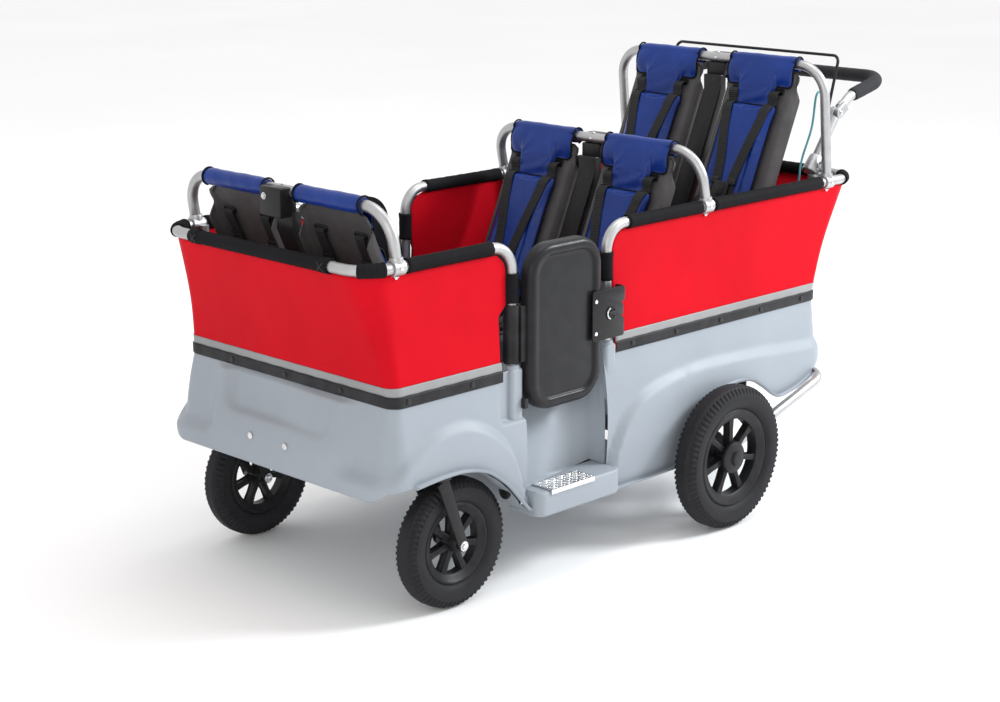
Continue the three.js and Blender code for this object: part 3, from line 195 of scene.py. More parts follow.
def rounded_outline(low, high, radius, steps=8):
    """The corners of a rectangle with round corners, in two dimensions."""
    radii = radius if isinstance(radius, (list, tuple)) else [radius] * 4
    (left, foot), (right, top) = low, high
    result = []
    for quarter, (a, b) in enumerate(((right, top), (left, top), (left, foot), (right, foot))):
        size = radii[quarter]
        centre = (a - size * (1 if a == right else -1), b - size * (1 if b == top else -1))
        for step in range(steps + 1):
            angle = (quarter + step / steps) * math.pi / 2
            result.append((centre[0] + size * math.cos(angle), centre[1] + size * math.sin(angle)))
    return result


# Modelling helpers, all in millimetres

SHARP_EDGE = math.radians(30.0)


def surface(bm, columns, rows, place, uv=None, closed=False):
    """A grid bent into any surface by a function of its two shares, with a UV map in metres."""
    made = bmesh.ops.create_grid(bm, x_segments=columns, y_segments=rows, size=0.5)
    layer = bm.loops.layers.uv.verify()
    shares = {vert: (vert.co.x + 0.5, vert.co.y + 0.5) for vert in made["verts"]}
    faces = {face for vert in made["verts"] for face in vert.link_faces}
    for face in faces:
        for loop in face.loops:
            u, v = shares[loop.vert]
            loop[layer].uv = uv(u, v) if uv else (u, v)
    for vert, (u, v) in shares.items():
        vert.co = place(u, v)
    if closed:
        bmesh.ops.remove_doubles(bm, verts=made["verts"], dist=0.001)
    return [vert for vert in made["verts"] if vert.is_valid]


def frames_along(points):
    """The directions across a line of points, carried along it without a twist."""
    tangents = []
    for k in range(len(points)):
        before, after = points[max(k - 1, 0)], points[min(k + 1, len(points) - 1)]
        tangents.append((after - before).normalized())
    side = Vector((1, 0, 0)) if abs(tangents[0].x) < 0.9 else Vector((0, 0, 1))
    side = (side - tangents[0] * side.dot(tangents[0])).normalized()
    result = []
    for k, tangent in enumerate(tangents):
        if k:
            turn = tangents[k - 1].rotation_difference(tangent)
            side = turn @ side
            side = (side - tangent * side.dot(tangent)).normalized()
        result.append((side.copy(), tangent.cross(side).normalized()))
    return result


def tube(bm, points, radius, sides=24, capped=True, closed=False):
    """A round tube along points; the radius is one number or one for each point."""
    points = [Vector(point) for point in points]
    if closed:
        points = points + [points[0].copy()]
    frames = frames_along(points)
    radii = radius if isinstance(radius, (list, tuple)) else [radius] * len(points)
    lengths = [0.0]
    for before, after in zip(points, points[1:]):
        lengths.append(lengths[-1] + (after - before).length / 1000)
    last = len(points) - 1

    def place(u, v):
        k = round(v * last)
        side, up = frames[k]
        angle = u * 2 * math.pi
        return points[k] + (side * math.cos(angle) + up * math.sin(angle)) * radii[k]

    verts = surface(bm, sides, last, place, closed=True,
                    uv=lambda u, v: (lengths[round(v * last)],
                                     u * 2 * math.pi * radii[round(v * last)] / 1000))
    if capped:
        close_holes(bm, verts)
    return verts


def close_holes(bm, verts):
    edges = {edge for vert in verts if vert.is_valid for edge in vert.link_edges if edge.is_boundary}
    if edges:
        bmesh.ops.holes_fill(bm, edges=list(edges), sides=0)


def faces_of(verts):
    return list({face for vert in verts for face in vert.link_faces})


def soften(bm, faces, offset, segments):
    """Bevels every sharp edge of what has just been made."""
    edges = set()
    for face in faces:
        edges.update(face.edges)
    sharp = [edge for edge in edges if edge.is_valid and len(edge.link_faces) == 2
             and edge.calc_face_angle(0.0) > SHARP_EDGE]
    if sharp and offset > 0:
        bmesh.ops.bevel(bm, geom=sharp, offset=offset, segments=segments, profile=0.5,
                        affect="EDGES", material=-1, clamp_overlap=True)


AXIS_ORDER = {
    "X": lambda a, b, c: Vector((c, a, b)),
    "Y": lambda a, b, c: Vector((a, c, b)),
    "Z": lambda a, b, c: Vector((a, b, c)),
}


def plate(bm, outline, axis, low, high, edge, segments=3, matrix=None):
    """An outline square to one axis, given a thickness along it and softened edges."""
    order = AXIS_ORDER[axis]
    verts = [bm.verts.new(order(a, b, low)) for a, b in outline]
    face = bm.faces.new(verts)
    made = bmesh.ops.extrude_face_region(bm, geom=[face])
    raised = [item for item in made["geom"] if isinstance(item, bmesh.types.BMVert)]
    bmesh.ops.translate(bm, vec=order(0, 0, high - low), verts=raised)
    if matrix:
        bmesh.ops.transform(bm, matrix=matrix, verts=verts + raised)
    faces = faces_of(verts + raised)
    bmesh.ops.recalc_face_normals(bm, faces=faces)
    soften(bm, faces, edge, segments)


def box(bm, low, high, edge=1.0, segments=2, matrix=None):
    low, high = Vector(low), Vector(high)
    place = Matrix.Translation((low + high) / 2) @ Matrix.Diagonal((high - low).to_4d())
    made = bmesh.ops.create_cube(bm, size=1.0, matrix=(matrix @ place) if matrix else place)
    soften(bm, faces_of(made["verts"]), edge, segments)


def turned(bm, profile, centre, axis="X", steps=48, ring=False):
    """A profile of (radius, height) points spun about an axis; a ring's profile is closed."""
    verts = [bm.verts.new((height, radius, 0.0)) for radius, height in profile]
    edges = [bm.edges.new(pair) for pair in zip(verts, verts[1:])]
    if ring:
        edges.append(bm.edges.new((verts[-1], verts[0])))
    made = bmesh.ops.spin(bm, geom=verts + edges, cent=(0, 0, 0), axis=(1, 0, 0),
                          angle=2 * math.pi, steps=steps, use_merge=True, dvec=(0, 0, 0))
    last = [item for item in made["geom_last"] if isinstance(item, bmesh.types.BMVert)]
    whole = set(verts)
    queue = list(verts) + last
    while queue:
        vert = queue.pop()
        if not vert.is_valid:
            continue
        whole.add(vert)
        for edge in vert.link_edges:
            other = edge.other_vert(vert)
            if other not in whole:
                whole.add(other)
                queue.append(other)
    whole = [vert for vert in whole if vert.is_valid]
    turn = {"X": Matrix.Identity(4), "Y": Matrix.Rotation(math.pi / 2, 4, "Z"),
            "Z": Matrix.Rotation(-math.pi / 2, 4, "Y")}[axis]
    bmesh.ops.transform(bm, matrix=Matrix.Translation(Vector(centre)) @ turn, verts=whole)
    bmesh.ops.remove_doubles(bm, verts=whole, dist=0.001)
    whole = [vert for vert in whole if vert.is_valid]
    bmesh.ops.recalc_face_normals(bm, faces=faces_of(whole))
    return whole


def rod(bm, radius, low, high, centre):
    """A plain rod across the stroller."""
    turned(bm, [(0.0, low), (radius, low), (radius, high), (0.0, high)], centre, "X", steps=20)


def mirror_x(bm):
    """Turns a piece that was made for the left side into the one for the right side."""
    bmesh.ops.transform(bm, matrix=Matrix.Diagonal((-1, 1, 1, 1)), verts=bm.verts)
    bmesh.ops.reverse_faces(bm, faces=bm.faces)


def both_sides(bm):
    """Adds the other side's copy of everything that has been made so far."""
    made = bmesh.ops.duplicate(bm, geom=list(bm.verts) + list(bm.edges) + list(bm.faces))
    verts = [item for item in made["geom"] if isinstance(item, bmesh.types.BMVert)]
    faces = [item for item in made["geom"] if isinstance(item, bmesh.types.BMFace)]
    bmesh.ops.transform(bm, matrix=Matrix.Diagonal((-1, 1, 1, 1)), verts=verts)
    bmesh.ops.reverse_faces(bm, faces=faces)


def add_part(bm, part):
    """Adds a part that was made on its own, such as one that has been mirrored first, to a piece."""
    mesh = bpy.data.meshes.new("part")
    part.to_mesh(mesh)
    part.free()
    bm.from_mesh(mesh)
    bpy.data.meshes.remove(mesh)


def add_pair(bm, part):
    """Adds a part that was made for the left side, and its copy on the right, to a piece."""
    both_sides(part)
    add_part(bm, part)


def bolt(bm, centre, radius, height, axis, outwards=1):
    """A low domed bolt or rivet head standing on a face."""
    profile = [(0.0, 0.0), (radius, 0.0), (radius, height * 0.65 * outwards),
               (radius * 0.82, height * 0.94 * outwards), (radius * 0.4, height * outwards),
               (0.0, height * outwards)]
    turned(bm, profile, centre, axis, steps=20)


def hex_bolt(bm, centre, radius, height, axis, outwards):
    """A hexagonal head with a washer under it."""
    turned(bm, [(0.0, 0.0), (radius * 1.35, 0.0), (radius * 1.35, height * 0.25 * outwards),
                (0.0, height * 0.25 * outwards)], centre, axis, steps=24)
    order = AXIS_ORDER[axis]
    outline = [(radius * math.cos(math.pi * k / 3),
                radius * math.sin(math.pi * k / 3)) for k in range(6)]
    low, high = sorted((height * 0.2 * outwards, height * outwards))
    plate(bm, outline, axis, low, high, edge=radius * 0.12, segments=2,
          matrix=Matrix.Translation(order(0, 0, 0) + Vector(centre)))


def finish_piece(bm, name, finish, body, slot, replaces=(), angle=35.0, sign=1):
    """Makes the finished piece: in metres, smooth, with its finish and the body it rides on.

    Pieces with a sign are made for the left side; the sign -1 turns them over for the right.
    """
    if sign < 0:
        mirror_x(bm)
    bmesh.ops.transform(bm, matrix=TO_WORLD, verts=bm.verts)
    mesh = bpy.data.meshes.new(name)
    for face in bm.faces:
        face.smooth = True
    bm.to_mesh(mesh)
    bm.free()
    mesh.materials.append(FINISH[finish])
    mesh.set_sharp_from_angle(angle=math.radians(angle))
    obj = bpy.data.objects.new(name, mesh)
    bpy.context.scene.collection.objects.link(obj)
    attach(obj, body)
    if replaces:
        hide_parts(*replaces)
    return obj


def thicken(obj, name, thickness, offset):
    """Gives a cloth skin its thickness, in metres."""
    thick = obj.modifiers.new(name, "SOLIDIFY")
    thick.thickness = thickness
    thick.offset = offset


# Shader maths, written as sums on wrapped sockets

class Shade:
    """One output of a finish's nodes; sums and products on it add Math nodes."""

    def __init__(self, finish, socket):
        self.finish = finish
        self.socket = socket

    def maths(self, operation, first, second=None, third=None):
        inputs = {0: first}
        if second is not None:
            inputs[1] = second
        if third is not None:
            inputs[2] = third
        return self.finish.node("ShaderNodeMath", {"operation": operation}, inputs)

    def __add__(self, other):
        return self.maths("ADD", self, other)

    def __radd__(self, other):
        return self.maths("ADD", other, self)

    def __sub__(self, other):
        return self.maths("SUBTRACT", self, other)

    def __rsub__(self, other):
        return self.maths("SUBTRACT", other, self)

    def __mul__(self, other):
        return self.maths("MULTIPLY", self, other)

    def __rmul__(self, other):
        return self.maths("MULTIPLY", other, self)

    def __truediv__(self, other):
        return self.maths("DIVIDE", self, other)

    def __pow__(self, other):
        return self.maths("POWER", self, other)

    def sine(self):
        return self.maths("SINE", self)

    def size(self):
        return self.maths("ABSOLUTE", self)

    def ramp(self, low, high, start=0.0, end=1.0):
        """The share of the way from low to high, kept within start and end."""
        return self.finish.node("ShaderNodeMapRange", {"clamp": True}, {
            "Value": self, "From Min": low, "From Max": high, "To Min": start, "To Max": end})


class Finish:
    """A node-based material with one shader."""

    def __init__(self, name, **constants):
        self.material = bpy.data.materials.new(name)
        self.material.use_nodes = True
        self.tree = self.material.node_tree
        self.tree.nodes.clear()
        self.shader = self.tree.nodes.new("ShaderNodeBsdfPrincipled")
        output = self.tree.nodes.new("ShaderNodeOutputMaterial")
        self.tree.links.new(self.shader.outputs[0], output.inputs[0])
        for key, value in constants.items():
            self.shader.inputs[key.replace("_", " ")].default_value = value

    def node(self, kind, settings=None, inputs=None, output=0):
        made = self.tree.nodes.new(kind)
        for key, value in (settings or {}).items():
            if key == "stops":
                for element, (place, colour) in zip(self.stops(made, len(value)), value):
                    element.position = place
                    element.color = colour
            else:
                setattr(made, key, value)
        for key, value in (inputs or {}).items():
            self.feed(made.inputs[key], value)
        return Shade(self, made.outputs[output])

    def stops(self, ramp, count):
        while len(ramp.color_ramp.elements) < count:
            ramp.color_ramp.elements.new(1.0)
        return ramp.color_ramp.elements

    def feed(self, socket, value):
        if isinstance(value, Shade):
            self.tree.links.new(value.socket, socket)
        else:
            socket.default_value = value

    def set(self, key, value):
        self.feed(self.shader.inputs[key], value)

    def place(self):
        return self.node("ShaderNodeTexCoord", output=3)

    def map_place(self):
        return self.node("ShaderNodeTexCoord", output=2)

    def parts(self, vector):
        split = self.tree.nodes.new("ShaderNodeSeparateXYZ")
        self.feed(split.inputs[0], vector)
        return [Shade(self, socket) for socket in split.outputs]

    def stretched(self, vector, scale):
        return self.node("ShaderNodeMapping", None, {"Vector": vector, "Scale": scale})

    def noise(self, scale, detail=3.0, roughness=0.5, vector=None):
        return self.node("ShaderNodeTexNoise", None, {
            "Vector": vector or self.place(), "Scale": scale, "Detail": detail, "Roughness": roughness})

    def cells(self, scale, vector=None):
        return self.node("ShaderNodeTexVoronoi", None,
                         {"Vector": vector or self.place(), "Scale": scale})

    def colours(self, share, first, second):
        return self.node("ShaderNodeMix", {"data_type": "RGBA"},
                         {0: share, 6: (*first, 1.0), 7: (*second, 1.0)}, output=2)

    def blended(self, share, first, second):
        return self.node("ShaderNodeMix", {"data_type": "RGBA"}, {0: share, 6: first, 7: second},
                         output=2)

    def raised(self, height, depth, strength=1.0, normal=None):
        inputs = {"Height": height, "Distance": depth, "Strength": strength}
        if normal is not None:
            inputs["Normal"] = normal
        return self.node("ShaderNodeBump", None, inputs)


def moulded_finish(name, light, dark):
    """Moulded plastic: faint blotches, a fine grain and small scuffs."""
    finish = Finish(name, Specular_IOR_Level=0.22)
    blotch = finish.noise(7.0, 4.0).ramp(0.3, 0.7)
    finish.set("Base Color", finish.colours(blotch, dark, light))
    scuff = finish.noise(60.0, 5.0, 0.65).ramp(0.62, 0.75)
    finish.set("Roughness", finish.noise(22.0, 3.0) * 0.14 + scuff * 0.12 + 0.35)
    fine = finish.raised(finish.noise(1400.0, 2.0), 0.00012, 0.35)
    finish.set("Normal", finish.raised(finish.noise(9.0, 2.0), 0.0012, 0.35, fine))
    return finish.material


def speckled_plastic(name, light, dark, roughness=0.5, depth=0.0002):
    """Fine-textured black or grey plastic."""
    finish = Finish(name, Specular_IOR_Level=0.2)
    finish.set("Base Color", finish.colours(finish.noise(30.0, 4.0).ramp(0.35, 0.7), dark, light))
    finish.set("Roughness", finish.noise(90.0, 3.0) * 0.2 + (roughness - 0.1))
    finish.set("Normal", finish.raised(finish.cells(1500.0), depth, 0.4))
    return finish.material


def bright_metal(name, light, dark, roughness):
    """Plated or polished metal with a few dull marks."""
    finish = Finish(name, Metallic=1.0)
    marks = finish.noise(35.0, 5.0, 0.6)
    finish.set("Base Color", finish.colours(marks.ramp(0.3, 0.75), dark, light))
    finish.set("Roughness", finish.noise(160.0) * 0.14 + marks * 0.08 + (roughness - 0.1))
    finish.set("Normal", finish.raised(finish.noise(700.0, 2.0), 0.00003, 0.3))
    return finish.material


def tube_metal(name, light, dark):
    """Anodised tube: fine lines round it and faint handling marks along it."""
    finish = Finish(name, Metallic=1.0)
    around = finish.parts(finish.map_place())[0]
    lines = (around * 9000.0).sine() * 0.5 + 0.5
    marks = finish.noise(40.0, 5.0, 0.6)
    finish.set("Base Color", finish.colours(marks.ramp(0.35, 0.75), dark, light))
    finish.set("Roughness", marks * 0.16 + finish.noise(6.0, 2.0) * 0.1 + 0.32)
    finish.set("Normal", finish.raised(lines * finish.noise(120.0), 0.00002, 0.25))
    return finish.material


def enamelled_metal(name, light, dark, roughness=0.34):
    """Black powder coat with a light orange peel and rubbed spots."""
    finish = Finish(name, Specular_IOR_Level=0.25)
    rub = finish.noise(45.0, 5.0, 0.6).ramp(0.6, 0.8)
    finish.set("Base Color", finish.colours(rub, dark, light))
    finish.set("Roughness", finish.noise(25.0, 3.0) * 0.16 + rub * 0.1 + (roughness - 0.08))
    finish.set("Normal", finish.raised(finish.noise(900.0, 2.0), 0.00005, 0.4))
    return finish.material


def woven(finish, pitch):
    """The height of a plain weave on a piece's own map, with threads a pitch apart."""
    across_share, along_share = finish.parts(finish.map_place())[:2]
    turns = math.pi / pitch
    warp = (across_share * turns).sine()
    weft = (along_share * turns).sine()
    return warp * weft * 0.5 + 0.5


def coated_cloth(name, light, dark, pitch=0.0007, roughness=0.5, coat=0.0):
    """Woven cloth with a coating: weave, soft creases and faint fading."""
    finish = Finish(name, Specular_IOR_Level=0.04, Coat_Weight=coat, Coat_Roughness=0.35)
    weave = woven(finish, pitch)
    fade = finish.noise(5.0, 4.0, 0.55).ramp(0.3, 0.72)
    thread = finish.noise(400.0, 2.0)
    finish.set("Base Color", finish.blended(weave * 0.25 + thread * 0.15,
                                            finish.colours(fade, dark, light),
                                            (dark[0] * 0.6, dark[1] * 0.6, dark[2] * 0.6, 1.0)))
    finish.set("Roughness", weave * 0.1 + fade * 0.08 + (roughness - 0.08))
    threads = finish.raised(weave, 0.00008, 0.5)
    crease = finish.noise(26.0, 5.0, 0.55)
    finish.set("Normal", finish.raised(crease, 0.0012, 0.35, threads))
    return finish.material


def glossy_cloth(name, light, dark):
    """Coated nylon on the pads: shiny, with tight creases over a fine weave."""
    finish = Finish(name, Specular_IOR_Level=0.22, Coat_Weight=0.06, Coat_Roughness=0.25)
    weave = woven(finish, 0.0006)
    fade = finish.noise(9.0, 4.0, 0.55).ramp(0.3, 0.72)
    finish.set("Base Color", finish.colours(fade, dark, light))
    finish.set("Roughness", finish.noise(60.0, 4.0) * 0.14 + weave * 0.05 + 0.24)
    threads = finish.raised(weave, 0.00005, 0.35)
    crease = finish.noise(34.0, 4.0, 0.6, finish.stretched(finish.place(), (1.0, 1.0, 0.55)))
    finish.set("Normal", finish.raised(crease, 0.0032, 0.55, threads))
    return finish.material


def ribbed_webbing(name, light, dark):
    """Polyester webbing: thick ribs across it and a fine twill between them, with painted shade in
    their grooves.
    """
    finish = Finish(name, Specular_IOR_Level=0.2)
    across_share, along_share = finish.parts(finish.map_place())[:2]
    ribs = (along_share * (math.pi / 0.0044)).sine().size()
    twill = ((along_share + across_share) * (math.pi / 0.0009)).sine() * 0.5 + 0.5
    # Base colour darker in the rib and twill grooves, following the bump: painted shade
    finish.set("Base Color", finish.colours(ribs * 0.7 + twill * 0.3, dark, light))
    finish.set("Roughness", ribs * 0.1 + 0.6)
    finish.set("Normal", finish.raised(ribs * 0.85 + twill * 0.15, 0.0012, 0.7))
    return finish.material


def tyre_rubber(name):
    """Tyre rubber: matt, dusty in the hollows and slightly shiny on the tread."""
    finish = Finish(name, Specular_IOR_Level=0.16)
    dust = finish.noise(28.0, 5.0, 0.6).ramp(0.35, 0.8)
    finish.set("Base Color", finish.colours(dust, (0.014, 0.014, 0.016), (0.024, 0.024, 0.027)))
    finish.set("Roughness", dust * 0.22 + 0.52)
    finish.set("Normal", finish.raised(finish.noise(900.0, 3.0), 0.0002, 0.5))
    return finish.material


def grip_foam(name):
    """Closed-cell foam: small pores all over, each darkened with painted shade."""
    finish = Finish(name, Specular_IOR_Level=0.3)
    pores = finish.cells(900.0)
    # Base colour darker in each pore's pit, following the bump: painted shade
    finish.set("Base Color", finish.colours(pores.ramp(0.0, 0.5), (0.007, 0.007, 0.008),
                                            (0.022, 0.022, 0.025)))
    finish.set("Roughness", pores * 0.2 + 0.74)
    finish.set("Normal", finish.raised(pores, 0.0004, 0.5))
    return finish.material


def make_finishes(colours):
    """Every finish of the stroller, by the name that the pieces use."""
    def shades(name, spread=0.82):
        light = tuple(getattr(colours, name))
        return light, tuple(value * spread for value in light)

    return {
        "tub": moulded_finish("tub plastic", *shades("tub", 0.93)),
        "tube": tube_metal("satin tube", *shades("tube", 0.86)),
        "zinc": bright_metal("zinc plated steel", (0.80, 0.80, 0.81), (0.60, 0.60, 0.61), 0.26),
        "enamel": enamelled_metal("black powder coat", (0.03, 0.03, 0.032), (0.012, 0.012, 0.013)),
        "red": coated_cloth("red cloth", *shades("cloth")),
        "sleeve": coated_cloth("black sleeve cloth", (0.017, 0.016, 0.018), (0.010, 0.010, 0.011),
                               0.0009, 0.7),
        "strip": speckled_plastic("binding strip", (0.025, 0.025, 0.028), (0.012, 0.012, 0.014), 0.45),
        "reflective": coated_cloth("reflective tape", (0.34, 0.345, 0.35), (0.27, 0.275, 0.28), 0.0012,
                                   0.35, 0.2),
        "tread": bright_metal("tread plate", (0.86, 0.86, 0.87), (0.62, 0.63, 0.64), 0.26),
        "door": speckled_plastic("door plastic", (0.016, 0.016, 0.018), (0.011, 0.011, 0.012), 0.34,
                                 0.0001),
        "rivet": enamelled_metal("dark bronze", (0.045, 0.042, 0.04), (0.022, 0.021, 0.02), 0.36),
        "black": speckled_plastic("black plastic", (0.022, 0.022, 0.024), (0.010, 0.010, 0.011), 0.42),
        "shell": speckled_plastic("grey seat plastic", *shades("shell", 0.8), 0.48),
        "blue": glossy_cloth("blue pad cloth", *shades("pad", 0.75)),
        "piping": coated_cloth("black piping", (0.012, 0.012, 0.014), (0.006, 0.006, 0.008), 0.0011,
                               0.5),
        "webbing": ribbed_webbing("black webbing", (0.026, 0.026, 0.028), (0.007, 0.007, 0.008)),
        "rubber": tyre_rubber("tyre rubber"),
        "foam": grip_foam("grip foam"),
        "cable": speckled_plastic("cable jacket", (0.09, 0.30, 0.33), (0.05, 0.20, 0.23), 0.35,
                                  0.00005),
        # Near-black sheets in the seat slots: painted shade
        "hollow": speckled_plastic("dark hollow", (0.006, 0.006, 0.007), (0.003, 0.003, 0.004), 0.8),
    }


FINISH = {}


# The tub's walls: a full body and its set-back parts, joined by soft steps along waves

FULL_GROWTH = ((0.0, 0.55), (0.2, 0.85), (0.36, 1.0), (0.56, 0.97), (0.76, 0.62), (1.0, 0.25))
SET_BACK_GROWTH = ((0.0, 0.3), (0.3, 0.5), (0.54, 0.52), (0.76, 0.33), (0.96, 0.04), (1.0, 0.0))
PANEL_HALF, PANEL_FOOT, PANEL_CORNER, PANEL_DEPTH = 158.0, 350.0, 34.0, 13.0
LOWER_EDGE = ((-0.05, 0.33), (0, 0.335), (0.006, 0.37), (0.014, 0.42), (0.0375, 0.44), (0.065, 0.456),
              (0.105, 0.469), (0.143, 0.465), (0.182, 0.423), (0.212, 0.338), (0.233, 0.259),
              (0.258, 0.144), (0.278, 0.062), (0.304, 0.016), (0.337, 0), (0.616, 0.01), (0.63, 0.033),
              (0.636, 0.148), (0.648, 0.269), (0.672, 0.387), (0.705, 0.479), (0.741, 0.518),
              (0.782, 0.5), (0.815, 0.42), (0.84, 0.345), (0.858, 0.315), (0.885, 0.325), (0.92, 0.36),
              (0.955, 0.43), (0.985, 0.53), (1, 0.62), (1.05, 0.62))
FRONT_WAVE = ((-0.05, 0.51), (0.01, 0.51), (0.024, 0.54), (0.044, 0.605), (0.075, 0.68), (0.108, 0.735),
              (0.14, 0.752), (0.168, 0.74), (0.201, 0.68), (0.227, 0.59), (0.248, 0.475),
              (0.262, 0.328), (0.27, 0.197), (0.3, 0.12))
REAR_WAVE = ((0.44, 0.12), (0.462, 0.164), (0.47, 0.311), (0.483, 0.443), (0.506, 0.551),
             (0.536, 0.623), (0.594, 0.682), (0.668, 0.711), (0.8, 0.692), (0.926, 0.649), (1.05, 0.63))
SIDE_BULGE, FRONT_BULGE, REAR_BULGE, CORNER_BULGE = 34.0, 50.0, 20.0, 42.0
RIM_CORNER = 22.0
DOOR_FRONT, DOOR_REAR = 393.0, 629.0
RECESS_X = 274.4
LEDGE_TOP = 198.0
TREAD_FRONT, TREAD_REAR = 421.0, 547.0


def tub_height(curve, station):
    return TUB_FOOT + TUB_DEPTH * on_curve(curve, (station - TUB_FRONT) / TUB_LENGTH)


def wrap_share(u, shares):
    """Which of five runs round a U-shaped wall a share falls in, and how far along it."""
    total = 0.0
    for run, share in enumerate(shares):
        if u <= total + share or run == len(shares) - 1:
            return run, min(max((u - total) / share, 0.0), 1.0)
        total += share
    return len(shares) - 1, 1.0


WRAP_SHARES = (0.26, 0.1, 0.28, 0.1, 0.26)


def wrap_point(u, half, nose, corner, end, facing):
    """A point on a U-shaped wall from one side's end round the nose to the other side's end."""
    run, share = wrap_share(u, WRAP_SHARES)
    start = nose + facing * corner
    if run == 0:
        return half, mix(end, start, share)
    if run == 4:
        return -half, mix(start, end, share)
    if run == 2:
        return mix(half - corner, corner - half, share), nose
    angle = share * math.pi / 2
    if run == 1:
        return half - corner + corner * math.cos(angle), start - facing * corner * math.sin(angle)
    return corner - half - corner * math.sin(angle), start - facing * corner * math.cos(angle)


def wall_point(u, growth, facing, end):
    """The outer wall's level line, grown outwards from the rim's."""
    if facing > 0:
        nose = RIM_FRONT - FRONT_BULGE * growth
    else:
        nose = RIM_REAR + REAR_BULGE * growth
    return wrap_point(u, RIM_HALF + SIDE_BULGE * growth, nose, RIM_CORNER + CORNER_BULGE * growth, end,
                      facing)


def wall_place(u, z, facing, end):
    """The tub's outer wall: the full body below the wave, the set-back one above it."""
    rise = (z - TUB_FOOT) / TUB_DEPTH
    full = wall_point(u, on_curve(FULL_GROWTH, rise), facing, end)
    inner = wall_point(u, on_curve(SET_BACK_GROWTH, rise), facing, end)
    wave = FRONT_WAVE if facing > 0 else REAR_WAVE
    share = smooth_step(-13.0, 17.0, tub_height(wave, full[1]) - z)
    sunk = 0.0
    if facing > 0:
        middle = smooth_step(222.0, 172.0, abs(full[0])) * smooth_step(120.0, 60.0, full[1])
        share = 1.0 - (1.0 - share) * (1.0 - middle)
        reach_x = max(abs(full[0]) - (PANEL_HALF - PANEL_CORNER), 0.0)
        reach_z = max(PANEL_FOOT + PANEL_CORNER - z, 0.0)
        past = math.hypot(reach_x, reach_z) - PANEL_CORNER
        shallow = 1.0 - 0.8 * smooth_step(-40.0, 140.0, full[0])
        sunk = PANEL_DEPTH * shallow * smooth_step(8.0, -8.0, past)
        lip_x = full[0] * (z > PANEL_FOOT + 16.0)
        sunk += 3.5 * math.exp(-(past / 8.0) ** 2) * smooth_step(90.0, 0.0, lip_x)
        sunk *= smooth_step(90.0, 60.0, full[1])
    share *= smooth_step(STRIP_FOOT + 1.0, STRIP_FOOT - 9.0, z)
    sunk = min(sunk, RIM_FRONT - full[1]) if facing > 0 and full[1] < RIM_FRONT else 0.0
    x, station = mix(inner[0], full[0], share), mix(inner[1], full[1], share) + sunk
    if facing > 0 and full[1] < RIM_FRONT:
        station = min(station, max(RIM_FRONT, mix(inner[1], full[1], share)))
    if facing > 0 and z > 340.0:
        flat = smooth_step(322.0, 338.0, station) * smooth_step(340.0, 350.0, z)
        x = math.copysign(mix(abs(x), RIM_HALF, flat), x) if abs(x) > 200.0 else x
    return x, station


LIP = 7.0
LIP_ROWS = 6


def tub_wall(bm, facing, end):
    columns, rows = 280, 84
    lip_share = LIP_ROWS / rows

    def place(u, v):
        guess = wall_point(u, 0.85, facing, end)
        foot = tub_height(LOWER_EDGE, guess[1])
        if v >= lip_share:
            share = (v - lip_share) / (1 - lip_share)
            z = mix(foot, RIM_HEIGHT, share ** 1.15)
            x, station = wall_place(u, z, facing, end)
            tuck = 0.0
            if z - foot < LIP:
                tuck = LIP - math.sqrt(max(LIP ** 2 - (LIP - (z - foot)) ** 2, 0.0))
        else:
            share = v / lip_share
            turn = (1 - share) * math.pi / 2
            tuck = LIP + LIP * math.sin(turn)
            z = foot + LIP * (1 - math.cos(turn))
            x, station = wall_place(u, foot, facing, end)
        x_in, station_in = wall_point(u, -0.6, facing, end)
        way = Vector((x_in - x, station_in - station))
        if abs(x) > 250.0 and wrap_share(u, WRAP_SHARES)[0] in (0, 4):
            way = Vector((math.copysign(-1.0, x), 0.0))
        way = way.normalized() if way.length > 0.01 else Vector((0.0, facing))
        return Vector((x + way.x * tuck, station + way.y * tuck, z))

    verts = surface(bm, columns, rows, place)
    bmesh.ops.recalc_face_normals(bm, faces=faces_of(verts))
    middle = Vector((0.0, 500.0 if facing > 0 else 900.0, 300.0))
    outwards = sum(1 if (item.calc_center_median() - middle).dot(item.normal) > 0 else -1
                   for item in faces_of(verts))
    if outwards < 0:
        bmesh.ops.reverse_faces(bm, faces=faces_of(verts))


def tub_inside(bm):
    """The floors, inner walls and step recesses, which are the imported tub's own faces."""
    cad = bpy.data.objects["body_tub"]
    part = bmesh.new()
    part.from_mesh(cad.data)
    bmesh.ops.transform(part, matrix=TO_WORLD.inverted() @ cad.matrix_world, verts=part.verts)
    bmesh.ops.remove_doubles(part, verts=part.verts, dist=0.01)
    gone = []
    for face in part.faces:
        centre = face.calc_center_median()
        edge_x = abs(centre.x) - (RIM_HALF - 5.0)
        edge_s = max(RIM_FRONT + 5.0 - centre.y, centre.y - (RIM_REAR - 5.0))
        outside = max(edge_x, edge_s)
        beside = abs(abs(face.normal.y) - 1.0) < 0.1 and 388.0 < centre.y < 634.0
        if outside > 0.0 and not beside:
            gone.append(face)
    bmesh.ops.delete(part, geom=gone, context="FACES")
    add_part(bm, part)


